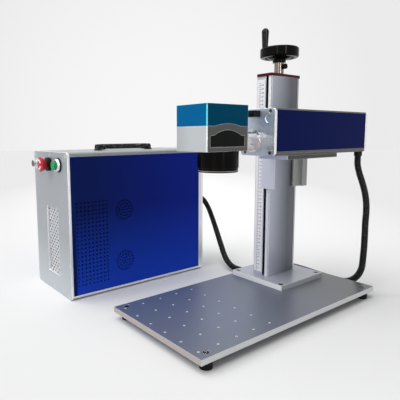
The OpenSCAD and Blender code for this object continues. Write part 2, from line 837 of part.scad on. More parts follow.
module arm_end_plate(y) difference() {
    xz_plate(y, arm_plate_t) round_rect(arm_x, arm_z, arm_w, arm_h, arm_r);
    for (p = arm_front_spots) {
        if (y == 0) translate([p.x, 0, p.y]) rotate([-90, 0, 0]) small_screw_hole(arm_plate_t + cut);
        else translate([p.x, arm_l, p.y]) rotate([90, 0, 0]) small_screw_hole(arm_plate_t + cut);
    }
}

plate_port_d = 17;
plate_port_x = 19;
plate_port_z = 23.5;
module arm_front_plate() color(c_alu) place() difference() {
    arm_end_plate(0);
    y_rod(beam_x, -cut, beam_z, tube_bore, arm_plate_t + 2 * cut);
    y_rod(arm_right - plate_port_x, -cut, arm_top - plate_port_z, plate_port_d,
        arm_plate_t / 4 + cut);
}

module arm_rear_plate() color(c_alu) place() arm_end_plate(arm_l - arm_plate_t);

module arm_screws() color(c_steel) place() {
    for (p = arm_front_spots) {
        translate([p.x, 0, p.y]) rotate([-90, 0, 0]) small_screw();
        translate([p.x, arm_l, p.y]) rotate([90, 0, 0]) small_screw();
    }
    for (p = support_spots) translate([p.x, p.y, support_z]) small_screw();
}

module beam_flange() color(c_alu) place() difference() {
    translate([beam_x, head_rear, beam_z]) rotate([-90, 0, 0]) {
        cylinder(d = tube_d, h = head_gap, $fn = 96);
        translate([0, 0, head_gap - tube_flange_t]) cylinder(d = tube_flange_d, h = tube_flange_t, $fn = 96);
    }
    y_rod(beam_x, head_rear - cut, beam_z, tube_bore, head_gap + 2 * cut);
}

collimator_d = 26;
collimator_l = 110;
collimator_tip_d = 16;
module collimator() color(c_dark) place() {
    xz_plate(arm_plate_t, arm_plate_t) difference() {
        translate([beam_x + mirror_gap - collimator_d, beam_z - collimator_d / 2 - arm_plate_t])
            square([2 * collimator_d, collimator_d + 2 * arm_plate_t]);
        translate([beam_x + mirror_gap, beam_z]) circle(d = collimator_tip_d);
    }
    y_rod(beam_x + mirror_gap, 2 * arm_plate_t - cut, beam_z, collimator_d, collimator_l);
}

// The gland's collar holds the hose's end, and its neck passes the wall behind it.
module gland(neck) difference() {
    union() {
        cylinder(d = gland_d, h = gland_h);
        translate([0, 0, gland_h - cut]) cylinder(d = gland_d - gland_h / 2 - 2 * run_gap, h = neck + cut);
    }
    translate([0, 0, -cut]) cylinder(d = hose_bore, h = gland_h + neck + 2 * cut);
}

module arm_gland() color(c_dark) place()
    translate([arm_right - gland_right, arm_l - gland_back, arm_z - gland_h]) gland(arm_wall);

// Scan head
module plan_rect(inset) round_rect(head_x + inset, head_front + inset, head_w - 2 * inset,
    head_l - 2 * inset, head_r);

arch_r = (pow(window_arch_w / 2, 2) + pow(window_peak - window_shoulder, 2))
    / (2 * (window_peak - window_shoulder));
frame_arch_rise = frame_peak - head_base_h;
frame_arch_r = (pow(frame_arch_w / 2, 2) + pow(frame_arch_rise, 2)) / (2 * frame_arch_rise);
arch_y = head_front + window_front + window_l / 2;

// A low arch over a base line: a circle's cap of the given width and rise
module arch(base_z, rise, r) intersection() {
    translate([arch_y, base_z + rise - r]) circle(r, $fn = 360);
    translate([arch_y - r, base_z]) square([2 * r, r]);
}

module window_shape() {
    translate([head_front + window_front, head_z + window_low])
        square([window_l, window_shoulder - window_low]);
    arch(head_z + window_shoulder, window_peak - window_shoulder, arch_r);
}

module side_arches() for (x = [head_x, head_x + head_w - head_wall])
    yz_plate(x, head_wall) arch(split_z, frame_arch_rise, frame_arch_r);

module head_base() color(c_alu) place() difference() {
    union() {
        translate([0, 0, head_z]) linear_extrude(head_floor) plan_rect(0);
        translate([0, 0, head_z]) linear_extrude(head_base_h) difference() {
            plan_rect(0);
            translate([head_x + head_wall, head_front + head_wall])
                square([head_w - 2 * head_wall, head_l - 2 * head_wall]);
        }
        side_arches();
    }
    for (x = [head_x - cut, head_x + head_w - pane_t]) yz_plate(x, pane_t + cut) window_shape();
    z_rod(beam_x, lens_y, head_z - cut, lens_d - 4 * lens_wall + cut, head_floor + 2 * cut);
    y_rod(beam_x, head_rear - head_wall - cut, beam_z, tube_bore - head_wall,
        head_wall + 2 * cut);
}

module head_cover() color(c_blue) place() difference() {
    translate([0, 0, split_z]) linear_extrude(head_h - head_base_h) plan_rect(0);
    translate([head_x + head_wall, head_front + head_wall, split_z - cut])
        cube([head_w - 2 * head_wall, head_l - 2 * head_wall,
            head_h - head_base_h - head_wall + cut]);
    for (x = [head_x - cut, head_x + head_w - head_wall - cut])
        yz_plate(x, head_wall + 2 * cut) arch(split_z, frame_arch_rise, frame_arch_r);
}

module head_windows() color(c_dark) place()
    for (x = [head_x, head_x + head_w - pane_t]) yz_plate(x, pane_t) window_shape();

// Galvo motors stand on one bracket in front of the lens opening, the X motor upright on its
// shelf and the Y motor lying through it.
galvo_d = 20;
galvo_l = 34;
galvo_shaft_d = 4;
galvo_shaft_l = 10;
bracket_t = 7;
bracket_side = 14;
mirror_t = 2;
x_mirror_w = 12;
x_mirror_h = 15;
y_mirror_w = 15;
y_mirror_l = 24;
bracket_y = lens_y - (lens_d - 4 * lens_wall) / 2 - bracket_t - cut;
shelf_z = beam_z + y_mirror_w;
x_axis_x = beam_x + mirror_gap;
mirror_angle = 45;

module galvo_motors() color(c_dark) place() difference() {
    union() {
        box(beam_x - bracket_side, bracket_y, head_z + head_floor, mirror_gap + 2 * bracket_side,
            bracket_t, shelf_z + bracket_t - head_z - head_floor);
        box(beam_x - bracket_side, bracket_y, shelf_z, mirror_gap + 2 * bracket_side,
            lens_y + galvo_d / 2 - bracket_y, bracket_t);
        z_rod(x_axis_x, lens_y, shelf_z, galvo_d, galvo_l);
        y_rod(beam_x, bracket_y - galvo_l + bracket_t, beam_z, galvo_d, galvo_l);
    }
    z_rod(x_axis_x, lens_y, shelf_z - cut, galvo_shaft_d + 2 * run_gap, galvo_shaft_l + cut);
    y_rod(beam_x, bracket_y + bracket_t - galvo_shaft_l, beam_z, galvo_shaft_d + 2 * run_gap,
        galvo_shaft_l + cut);
}

module x_mirror() color(c_chrome) place() translate([x_axis_x, lens_y, beam_z]) {
    rotate(mirror_angle) translate([-x_mirror_w / 2, -mirror_t / 2, -x_mirror_h / 2])
        cube([x_mirror_w, mirror_t, x_mirror_h]);
    translate([0, 0, x_mirror_h / 2 - mirror_t])
        cylinder(d = galvo_shaft_d, h = shelf_z - beam_z - x_mirror_h / 2 + mirror_t
            + galvo_shaft_l - run_gap);
}

module y_mirror() color(c_chrome) place() translate([beam_x, lens_y, beam_z]) {
    rotate([0, mirror_angle, 0]) translate([-y_mirror_w / 2, -y_mirror_l / 2, -mirror_t / 2])
        cube([y_mirror_w, y_mirror_l, mirror_t]);
    shaft_y = bracket_y + bracket_t - galvo_shaft_l + run_gap - lens_y;
    translate([0, shaft_y, 0]) rotate([-90, 0, 0])
        cylinder(d = galvo_shaft_d, h = mirror_t - y_mirror_l / 2 - shaft_y);
}

module lens_barrel() color(c_dark) place() translate([beam_x, lens_y, head_z - lens_h])
    difference() {
        rotate_extrude($fn = 96) difference() {
            square([lens_d / 2, lens_h]);
            translate([lens_d / 2 - 2 * lens_ring_step, lens_ring_h])
                square([2 * lens_ring_step + cut, lens_groove]);
            translate([lens_d / 2 - lens_ring_step, -cut])
                square([lens_ring_step + cut, lens_ring_h + cut]);
        }
        translate([0, 0, -cut]) cylinder(d = lens_d - 2 * lens_wall, h = lens_ring_h + cut);
        translate([0, 0, -cut]) cylinder(d = lens_d - 4 * lens_wall, h = lens_h + 2 * cut);
    }

module lens_glass() color([0.35, 0.2, 0.15]) place()
    z_rod(beam_x, lens_y, head_z - lens_h + lens_ring_h - glass_t, lens_d - 2 * lens_wall - 2 * fit_gap,
        glass_t);

lead_drop = 18.5;
lead_z = arm_top - lead_drop;
lead_ribbon_t = 5;
lead_inset = 3;
module head_cable() color(c_dark) place() {
    for (y = [head_rear, -lead_shell])
        box(beam_x - lead_w / 2 - optic_right, y, lead_z, lead_w, lead_shell, lead_h);
    box(beam_x - lead_w / 2 - optic_right + lead_inset, head_rear + lead_shell - cut,
        lead_z + (lead_h - lead_ribbon_t) / 2, lead_w - 2 * lead_inset,
        head_gap - 2 * lead_shell + 2 * cut, lead_ribbon_t);
}

// Cabinet
panel_l = frame_l - 2 * panel_margin;
panel_y = frame_front + panel_margin;
side_h = cab_h - 2 * panel_margin;
mid_boss_l = 20;
cab_spots = [for (x = [cab_x + cab_screw_x, cab_x + cab_w / 2, cab_right - cab_screw_x],
    z = [cab_screw_z, cab_h - cab_screw_z]) [x, z]];

module cab_section() difference() {
    round_rect(cab_x, 0, cab_w, cab_h, cab_r);
    difference() {
        translate([cab_x + cab_wall, cab_wall]) square([cab_w - 2 * cab_wall, cab_h - 2 * cab_wall]);
        for (x = [cab_x, cab_right - post_w], z = [0, cab_h - post_w])
            translate([x, z]) square([post_w, post_w]);
    }
}

module cabinet_frame() color(c_alu) place() difference() {
    union() {
        xz_plate(frame_front, frame_l) cab_section();
        for (y = [frame_front, cab_rear - cab_plate_t - mid_boss_l], z = [0, cab_h - post_w])
            box(cab_x + (cab_w - post_w) / 2, y, z, post_w, mid_boss_l, post_w);
    }
    for (x = [cab_x - cut, cab_right - panel_t])
        box(x, panel_y, panel_margin, panel_t + cut, panel_l, side_h);
    box(cab_x - cut, frame_front + post_w, post_w + cut, cab_w + 2 * cut, frame_l - 2 * post_w,
        cab_h - 2 * post_w - 2 * cut);
    for (p = cab_spots, y = [frame_front - cut, cab_rear - cab_plate_t - screw_grip])
        y_rod(p.x, y, p.y, small_hole_d, screw_grip + cut);
}

module cab_end_plate(y) difference() {
    xz_plate(y, cab_plate_t) round_rect(cab_x, 0, cab_w, cab_h, cab_r);
    for (p = cab_spots) {
        if (y == cab_front)
            translate([p.x, y, p.y]) rotate([-90, 0, 0]) small_screw_hole(cab_plate_t + cut);
        else
            translate([p.x, cab_rear, p.y]) rotate([90, 0, 0]) small_screw_hole(cab_plate_t + cut);
    }
}

module cabinet_front_plate() color(c_alu) place() difference() {
    cab_end_plate(cab_front);
    for (x = [key_x, estop_x, start_x])
        y_rod(cab_x + x, cab_front - cut, control_z, control_body_d + 2 * run_gap,
            cab_plate_t + 2 * cut);
    box(cab_x + vent_x - vent_w / 2, cab_front - cut, vent_z, vent_w, cab_plate_t + 2 * cut,
        vent_h);
}

inlet_w = 48;
inlet_h = 28;
inlet_x = cab_w / 4;
inlet_z = 60;
inlet_socket_w = 24;
inlet_socket_h = 17;
inlet_depth = 26;
inlet_socket_l = 18;
inlet_wall = 2;
hose_exit_x = 102;
hose_exit_z = 224;

module cabinet_rear_plate() color(c_alu) place() difference() {
    cab_end_plate(cab_rear - cab_plate_t);
    box(cab_x + inlet_x - (inlet_w / 2 - inlet_wall - cut), cab_rear - cab_plate_t - cut,
        inlet_z - (inlet_h / 2 - inlet_wall - cut), inlet_w - 2 * inlet_wall - 2 * cut,
        cab_plate_t + 2 * cut, inlet_h - 2 * inlet_wall - 2 * cut);
    y_rod(cab_x + hose_exit_x, cab_rear - cab_plate_t - cut, hose_exit_z,
        gland_d - gland_h / 2, cab_plate_t + 2 * cut);
}

grille_r = fan_w / 2 - 2;
grille_rings = 3;
grille_step = (grille_r - vent_hole_d / 2) / grille_rings;
grille_pitch = 2 * vent_hole_d;

// A grille of round holes, punched on rings round a middle hole
module hole_grille(y, z) translate([y, z]) {
    circle(d = vent_hole_d, $fn = 16);
    for (k = [1:grille_rings]) let (holes = floor(2 * PI * k * grille_step / grille_pitch))
        for (i = [0:holes - 1]) rotate(i * 360 / holes) translate([k * grille_step, 0])
            circle(d = vent_hole_d, $fn = 16);
}

module side_panel(x) yz_plate(x, panel_t) difference() {
    translate([panel_y, panel_margin]) square([panel_l, side_h]);
    for (i = [0:vent_cols - 1], j = [0:vent_rows - 1])
        translate([cab_front + vent_first_y + i * vent_hole_pitch,
            vent_first_z + j * vent_hole_pitch]) circle(d = vent_hole_d, $fn = 16);
    for (z = [fan_low_z, fan_top_z]) hole_grille(fan_y, z);
}

module cabinet_side_panels() color(c_navy) place() {
    side_panel(cab_x);
    side_panel(cab_right - panel_t);
}

module cabinet_screws() color(c_steel) place() for (p = cab_spots) {
    translate([p.x, cab_front, p.y]) rotate([-90, 0, 0]) small_screw();
    translate([p.x, cab_rear, p.y]) rotate([90, 0, 0]) small_screw();
}

mesh_margin = 6;
module vent_mesh() color(c_steel) place() {
    x0 = cab_x + vent_x - vent_w / 2 - mesh_margin;
    px = mesh_slot_w + mesh_web;
    pz = mesh_slot_h + mesh_web;
    cols = floor((vent_w - mesh_web) / px);
    rows = floor((vent_h - mesh_web) / pz);
    xz_plate(frame_front, mesh_t) difference() {
        translate([x0, vent_z - mesh_margin])
            square([vent_w + 2 * mesh_margin, vent_h + 2 * mesh_margin]);
        for (j = [0:2 * rows - 2], i = [0:cols - 1 - j % 2])
            translate([cab_x + vent_x + (i - (cols - 1 - j % 2) / 2) * px,
                vent_z + vent_h / 2 + (j - rows + 1) * pz / 2])
                polygon([[-mesh_slot_w / 2, 0], [0, -mesh_slot_h / 2], [mesh_slot_w / 2, 0],
                    [0, mesh_slot_h / 2]]);
    }
}

source_w = 150;
source_l = 260;
source_h = 110;
supply_w = 115;
supply_l = 215;
supply_h = 50;
source_side = 18;
source_back = 190;
terminal_l = 16;
module laser_source() color(c_dark) place()
    box(cab_x + source_side, cab_rear - source_back - source_l / 2, cab_wall, source_w, source_l,
        source_h);

module power_supply() color(c_steel) place() {
    y0 = cab_rear - source_back - supply_l / 2;
    x0 = cab_x + source_side + (source_w - supply_w) / 2;
    box(x0, y0, cab_wall + source_h, supply_w, supply_l, supply_h);
    box(x0, y0 - terminal_l, cab_wall + source_h, supply_w, terminal_l + cut, supply_h / 2);
}

fan_hub_d = 24;
fan_wall = 2;
fan_strut = 5;
fan_stator_t = 4;
fan_pin_d = 4;
fan_blades = 7;
blade_t = 1.5;
blade_pitch = 38;
fan_bore = fan_w - 2 * fan_wall;
fan_x = cab_right - panel_t - fan_t;
rotor_h = fan_t - fan_stator_t - fan_wall;

module fan_frame(z) translate([fan_x, fan_y, z]) rotate([90, 0, 90]) {
    linear_extrude(fan_t) difference() {
        translate([-fan_w / 2, -fan_w / 2]) square(fan_w);
        circle(d = fan_bore);
    }
    linear_extrude(fan_stator_t) intersection() {
        union() {
            circle(d = fan_hub_d);
            for (a = [45, 135]) rotate(a) square([fan_w, fan_strut], center = true);
        }
        circle(d = fan_bore + fan_wall);
    }
    cylinder(d = fan_pin_d, h = fan_stator_t + rotor_h / 2);
}

module fan_rotor(z) translate([fan_x + fan_stator_t + run_gap, fan_y, z]) rotate([0, 90, 0])
    difference() {
        union() {
            cylinder(d = fan_hub_d, h = rotor_h);
            intersection() {
                cylinder(d = fan_bore - 2 * fan_wall, h = rotor_h);
                for (k = [0:fan_blades - 1]) rotate(k * 360 / fan_blades)
                    translate([fan_hub_d / 2 - fan_wall, 0, rotor_h / 2]) rotate([blade_pitch, 0, 0])
                        translate([0, -blade_t / 2, -rotor_h / 2 - blade_t])
                            cube([fan_bore / 2, blade_t, rotor_h + 2 * blade_t]);
            }
        }
        translate([0, 0, -cut])
            cylinder(d = fan_pin_d + 2 * run_gap, h = rotor_h / 2 + cut + run_gap);
    }

module fan_frames() color(c_dark) place() for (z = [fan_low_z, fan_top_z]) fan_frame(z);

module fan_rotor_upper() color(c_dark) place() fan_rotor(fan_top_z);

module fan_rotor_lower() color(c_dark) place() fan_rotor(fan_low_z);

inlet_flange = 2.5;
inlet_pin_w = 2;
inlet_pin_h = 4;
inlet_pin_gap = 7;
inlet_pin_l = 13;
module power_inlet() color(c_dark) place() translate([cab_x + inlet_x, cab_rear, inlet_z]) {
    body_w = inlet_w - 2 * inlet_wall - 2 * cut - 2 * run_gap;
    body_h = inlet_h - 2 * inlet_wall - 2 * cut - 2 * run_gap;
    difference() {
        union() {
            box(-inlet_w / 2, 0, -inlet_h / 2, inlet_w, inlet_flange, inlet_h);
            box(-body_w / 2, inlet_flange - inlet_depth, -body_h / 2, body_w, inlet_depth - cut,
                body_h);
        }
        box(-inlet_socket_w / 2, inlet_flange - inlet_socket_l, -inlet_socket_h / 2,
            inlet_socket_w, inlet_socket_l + cut, inlet_socket_h);
    }
    for (s = [-1, 0, 1])
        box(s * inlet_pin_gap - inlet_pin_w / 2, inlet_flange - inlet_socket_l - cut,
            (s == 0 ? inlet_pin_gap / 4 : -inlet_pin_gap / 4) - inlet_pin_h / 2, inlet_pin_w,
            inlet_pin_l + cut, inlet_pin_h);
}

module hose_gland() color(c_dark) place()
    translate([cab_x + hose_exit_x, cab_rear + gland_h, hose_exit_z]) rotate([90, 0, 0])
        gland(cab_plate_t + cab_wall);

// Controls
module control_body(x) y_rod(cab_x + x, cab_front - cut, control_z, control_body_d,
    control_body_l + cut);

key_bore_l = 12;
key_slot_w = 2;
key_slot_l = 9;
module key_switch_body() color(c_chrome) place() difference() {
    union() {
        y_rod(cab_x + key_x, cab_front - key_bezel_l, control_z, key_bezel_d, key_bezel_l);
        control_body(key_x);
    }
    y_rod(cab_x + key_x, cab_front - key_bezel_l - cut, control_z, key_barrel_d + 2 * run_gap,
        key_bore_l + cut);
}

module key_switch_dial() color(c_dark) place()
    translate([cab_x + key_x, cab_front - key_bezel_l, control_z]) rotate([90, 0, 0]) difference() {
        translate([0, 0, run_gap - key_bore_l])
            cylinder(d = key_barrel_d, h = key_barrel_out + key_bore_l - run_gap);
        translate([-key_slot_w / 2, -key_slot_l / 2, key_barrel_out - key_slot_l])
            cube([key_slot_w, key_slot_l, key_slot_l + cut]);
    }

estop_stem_d = 14;
estop_stem_l = 16;
module estop_base() color(c_dark) place() difference() {
    union() {
        y_rod(cab_x + estop_x, cab_front - estop_collar_t, control_z, estop_collar_d,
            estop_collar_t);
        control_body(estop_x);
    }
    y_rod(cab_x + estop_x, cab_front - estop_collar_t - cut, control_z,
        estop_stem_d + 2 * run_gap, estop_stem_l + estop_travel + run_gap + cut);
}

// The mushroom is a low dome over a drawn-in waist.
mushroom_rim_share = 0.7;
module estop_button() color(c_red) place()
    translate([cab_x + estop_x, cab_front - estop_collar_t, control_z]) rotate([90, 0, 0]) {
        rest = estop_travel + estop_gap;
        rim = mushroom_h * mushroom_rim_share;
        dome_r = (pow(mushroom_d / 2, 2) + pow(mushroom_h - rim, 2)) / (2 * (mushroom_h - rim));
        translate([0, 0, -estop_stem_l]) cylinder(d = estop_stem_d, h = estop_stem_l + rest + cut);
        translate([0, 0, rest]) intersection() {
            union() {
                cylinder(d1 = mushroom_d - rim, d2 = mushroom_d, h = rim);
                translate([0, 0, rim]) cylinder(d = mushroom_d, h = mushroom_h - rim);
            }
            translate([0, 0, mushroom_h - dome_r]) sphere(dome_r, $fn = 96);
        }
    }

start_bore_l = 14;
module start_bezel() color(c_chrome) place() difference() {
    union() {
        y_rod(cab_x + start_x, cab_front - start_collar_t, control_z, start_collar_d,
            start_collar_t);
        control_body(start_x);
    }
    y_rod(cab_x + start_x, cab_front - start_collar_t - cut, control_z, start_cap_d + 2 * run_gap,
        start_bore_l + start_travel + cut);
}

module start_button() color(c_green) place()
    y_rod(cab_x + start_x, cab_front - start_collar_t - start_cap_out, control_z, start_cap_d,
        start_cap_out + start_bore_l);

// Carry handle: a bail that lies on the cabinet's top and turns up between its ears
handle_x = cab_x + cab_w / 2 + bar_reach / 2;
handle_y = cab_front + handle_back;
pivot_z = cab_h + pivot_h;
ear_t = ear_w - pivot_h;
module handle_ears() color(c_chrome) place() for (s = [-1, 1]) difference() {
    translate([0, handle_y + s * (handle_span / 2 + ear_l / 2) - ear_l / 2, 0]) union() {
        box(handle_x - ear_w / 2, 0, cab_h, ear_w, ear_l, ear_t / 4);
        box(handle_x - bar_d / 2, 0, cab_h, bar_d, ear_l, pivot_h);
        y_rod(handle_x, 0, pivot_z, bar_d, ear_l);
    }
    y_rod(handle_x, handle_y - handle_span, pivot_z, pivot_d + 2 * run_gap, 2 * handle_span);
}

bend_r = bar_d;
handle_hub_step = 0.5;
handle_hub_d = bar_d + 2 * handle_hub_step;
module elbow() rotate_extrude(angle = 90) translate([bend_r, 0]) circle(d = bar_d);

module carry_handle() color(c_dark) place() translate([handle_x, handle_y, pivot_z]) {
    half = handle_span / 2 - run_gap;
    for (s = [0, 1]) mirror([0, s, 0]) {
        y_rod(0, half - handle_hub_d, 0, handle_hub_d, handle_hub_d);
        y_rod(0, half - cut, 0, pivot_d, ear_l / 2 + cut);
        x_rod(bend_r - bar_reach, half - handle_hub_d / 2, 0, bar_d, bar_reach - bend_r);
        translate([bend_r - bar_reach, half - handle_hub_d / 2 - bend_r, 0])
            rotate(90) elbow();
    }
    y_rod(-bar_reach, bend_r + handle_hub_d / 2 - half, 0, bar_d,
        2 * half - 2 * bend_r - handle_hub_d);
}

// Hose: a ribbed tube along a smooth curve through the points of its route, from the cabinet's
// gland over the floor behind the stand up to the arm's gland
hose_route = [
    [-425, 130.3, 224], [-424.5, 162.3, 223.4], [-420.1, 193.1, 216.7], [-413, 218.3, 198.6],
    [-404.5, 233, 171.6], [-391.1, 236.6, 142.9], [-373.1, 233.2, 116.8], [-351.8, 224.9, 94.3],
    [-328.9, 213.6, 75], [-305.1, 200.6, 57.9], [-280.9, 187.1, 41.9], [-255, 175.8, 26.8],
    [-226.1, 171.1, 14.5], [-196.2, 180.2, 9.9], [-174.2, 202.4, 9.6], [-166.1, 232.9, 9.6],
    [-167.4, 264.9, 9.6], [-165, 296.1, 9.6], [-149.6, 320.7, 9.6], [-124.4, 335.3, 9.6],
    [-93.2, 336.9, 9.6], [-61.3, 333.6, 9.6], [-29.5, 330, 9.6], [2.4, 327.2, 9.6],
    [34.5, 325.8, 9.6], [64.9, 325.9, 14.4], [88.2, 326.4, 31.5], [100.9, 328.7, 57.6],
    [101.4, 334.2, 88.5], [99.6, 340.1, 120], [96.8, 345.9, 151.4], [93.6, 351.7, 182.7],
    [92, 356.5, 206], [87.3, 363.6, 233], [78.8, 370.2, 260], [67.5, 375.3, 287], [56, 378.6, 312],
    [48.6, 379.9, 337], [48, 380, 361.2]];

// Point and heading on the curve at u, counted in route points
function ends(i) = max(0, min(len(hose_route) - 1, i));
function curve(u) = let (i = min(floor(u), len(hose_route) - 2), t = u - i,
    a = hose_route[ends(i - 1)], b = hose_route[i], c = hose_route[i + 1],
    d = hose_route[ends(i + 2)])
    0.5 * (2 * b + (c - a) * t + (2 * a - 5 * b + 4 * c - d) * t * t
        + (3 * b - a - 3 * c + d) * t * t * t);
function heading(u) = let (e = 0.01, v = curve(min(u + e, len(hose_route) - 1)) - curve(max(u - e, 0)))
    v / norm(v);
side_view = [1, -1, 1];
hose_sides = 8;
function hose_ring(u, r) = let (t = heading(u), a = cross(t, side_view), p = a / norm(a), q = cross(t, p))
    [for (k = [0:hose_sides - 1]) curve(u) + r * (p * cos(k * 360 / hose_sides)
        + q * sin(k * 360 / hose_sides))];

// Rings on the outside with a rib's top and foot in turn, then back through the bore
hose_rings = 2 * hose_ribs;
bore_rings = 70;
hose_reach = len(hose_route) - 1;
hose_points = concat(
    [for (i = [0:hose_rings - 1]) each hose_ring(i / (hose_rings - 1) * hose_reach,
        hose_d / 2 - i % 2 * hose_rib)],
    [for (i = [0:bore_rings - 1]) each hose_ring((1 - i / (bore_rings - 1)) * hose_reach,
        hose_bore / 2)]);
hose_loops = hose_rings + bore_rings;
hose_faces = [for (i = [0:hose_loops - 1], k = [0:hose_sides - 1])
    let (a = i * hose_sides + k, b = i * hose_sides + (k + 1) % hose_sides,
        c = ((i + 1) % hose_loops) * hose_sides + (k + 1) % hose_sides,
        d = ((i + 1) % hose_loops) * hose_sides + k)
    each [[a, b, c], [a, c, d]]];

module hose() color(c_dark) place() polyhedron(hose_points, hose_faces);

// Show one node or all
rubber_feet();
base_plate();
stand_screws();
column_base();
column_profile();
column_cover();
column_scale();
column_cap();
guide_rods();
screw_bearings();
lock_boss();
lead_screw();
handwheel();
grip_pin();
wheel_grip();
clamp_knob();
carriage_block();
lead_nut();
front_wing();
rear_wing();
support_plate();
arm_housing();
arm_side_panels();
arm_front_plate();
arm_rear_plate();
arm_screws();
beam_flange();
collimator();
arm_gland();
head_base();
head_cover();
head_windows();
galvo_motors();
lens_barrel();
lens_glass();
head_cable();
x_mirror();
y_mirror();
cabinet_frame();
cabinet_front_plate();
cabinet_rear_plate();
cabinet_side_panels();
cabinet_screws();
vent_mesh();
laser_source();
power_supply();
fan_frames();
power_inlet();
hose_gland();
fan_rotor_upper();
fan_rotor_lower();
key_switch_body();
key_switch_dial();
estop_base();
estop_button();
start_bezel();
start_button();
handle_ears();
carry_handle();
hose();
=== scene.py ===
# Laser marking machine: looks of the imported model, in metres, in the model's own frame.
import math

import bmesh
import bpy
from mathutils import Matrix, Vector


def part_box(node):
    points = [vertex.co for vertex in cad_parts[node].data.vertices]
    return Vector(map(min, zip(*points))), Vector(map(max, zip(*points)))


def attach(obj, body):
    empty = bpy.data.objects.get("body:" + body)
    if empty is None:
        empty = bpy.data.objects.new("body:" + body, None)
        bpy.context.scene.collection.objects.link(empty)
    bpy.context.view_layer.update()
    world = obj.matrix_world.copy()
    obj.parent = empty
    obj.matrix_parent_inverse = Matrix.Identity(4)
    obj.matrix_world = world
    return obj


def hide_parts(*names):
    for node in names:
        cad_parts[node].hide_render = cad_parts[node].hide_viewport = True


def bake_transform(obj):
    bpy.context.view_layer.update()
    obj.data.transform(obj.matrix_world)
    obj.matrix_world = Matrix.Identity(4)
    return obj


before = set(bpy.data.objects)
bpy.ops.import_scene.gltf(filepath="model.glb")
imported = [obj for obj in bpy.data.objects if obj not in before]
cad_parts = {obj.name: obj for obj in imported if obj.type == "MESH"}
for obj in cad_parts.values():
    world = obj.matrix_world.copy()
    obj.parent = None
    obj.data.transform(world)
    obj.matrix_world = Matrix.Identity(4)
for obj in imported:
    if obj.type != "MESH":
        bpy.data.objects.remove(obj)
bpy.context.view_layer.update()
scene = bpy.context.scene
scene.view_settings.view_transform = "Standard"

# Camera
# The photograph is taken from the front right, a little over the work plate, with the picture's
# middle to the right of and below the lens axis.
photo_width_px = 400
focal_length_px = 426.17
axis_left_of_middle_px = 36.34
axis_above_middle_px = 11.78
sensor_mm = 36
camera_place = (0.8633, -0.7942, 0.4211)
camera_turn_deg = (82.976, 0.391, 52.906)
camera_data = bpy.data.cameras.new("camera")
camera_data.sensor_width = sensor_mm
camera_data.lens = focal_length_px / photo_width_px * sensor_mm
camera_data.shift_x = axis_left_of_middle_px / photo_width_px
camera_data.shift_y = -axis_above_middle_px / photo_width_px
camera = bpy.data.objects.new("camera", camera_data)
camera.location = camera_place
camera.rotation_euler = [math.radians(a) for a in camera_turn_deg]
scene.collection.objects.link(camera)
scene.camera = camera

# Hose
# A black ribbed plastic conduit with the fibre and the cables in it. It runs from the gland behind
# the cabinet over the table behind the stand to the gland under the arm, and its route is measured
# from the middle of the stand.
MM = 0.001
stand_middle_mm = Vector((188.5, -18, 0))
hose_route_mm = [
    (-425, 130.3, 224), (-424.5, 162.3, 223.4), (-420.1, 193.1, 216.7), (-413, 218.3, 198.6),
    (-404.5, 233, 171.6), (-391.1, 236.6, 142.9), (-373.1, 233.2, 116.8), (-351.8, 224.9, 94.3),
    (-328.9, 213.6, 75), (-305.1, 200.6, 57.9), (-280.9, 187.1, 41.9), (-255, 175.8, 26.8),
    (-226.1, 171.1, 14.5), (-196.2, 180.2, 9.9), (-174.2, 202.4, 9.6), (-166.1, 232.9, 9.6),
    (-167.4, 264.9, 9.6), (-165, 296.1, 9.6), (-149.6, 320.7, 9.6), (-124.4, 335.3, 9.6),
    (-93.2, 336.9, 9.6), (-61.3, 333.6, 9.6), (-29.5, 330, 9.6), (2.4, 327.2, 9.6),
    (34.5, 325.8, 9.6), (64.9, 325.9, 14.4), (88.2, 326.4, 31.5), (100.9, 328.7, 57.6),
    (101.4, 334.2, 88.5), (99.6, 340.1, 120), (96.8, 345.9, 151.4), (93.6, 351.7, 182.7),
    (92, 356.5, 206), (87.3, 363.6, 233), (78.8, 370.2, 260), (67.5, 375.3, 287),
    (56, 378.6, 312), (48.6, 379.9, 337), (48, 380, 361.2)]
hose_diameter = 18 * MM
hose_rib_depth = 1.3 * MM
hose_ribs = 250
hose_sides = 24
rings_per_rib = 4
hose_points = [(Vector(p) + stand_middle_mm) * MM for p in hose_route_mm]


def along(points, u):
    """Point at u, counted in points, of the smooth curve through the points."""
    i = min(int(u), len(points) - 2)
    t = u - i
    a, b = points[max(i - 1, 0)], points[i]
    c, d = points[i + 1], points[min(i + 2, len(points) - 1)]
    return 0.5 * (2 * b + (c - a) * t + (2 * a - 5 * b + 4 * c - d) * t ** 2
                  + (3 * b - a - 3 * c + d) * t ** 3)


def station(u):
    """Place and heading of the hose at u, as a matrix whose z axis points along the hose."""
    step = 0.02
    off_route = Vector((1, -1, 1))
    last = len(hose_points) - 1
    heading = (along(hose_points, min(u + step, last))
               - along(hose_points, max(u - step, 0))).normalized()
    side = heading.cross(off_route).normalized()
    turn = Matrix((side, heading.cross(side), heading)).transposed().to_4x4()
    turn.translation = along(hose_points, u)
    return turn


def piece(name, bm, crease_deg=35):
    """Object with the mesh of bm, smooth but for edges sharper than the crease."""
    crease = math.radians(crease_deg)
    for edge in bm.edges:
        edge.smooth = len(edge.link_faces) == 2 and edge.calc_face_angle(0) < crease
    for face in bm.faces:
        face.smooth = True
    mesh = bpy.data.meshes.new(name)
    bm.to_mesh(mesh)
    bm.free()
    made = bpy.data.objects.new(name, mesh)
    scene.collection.objects.link(made)
    return made


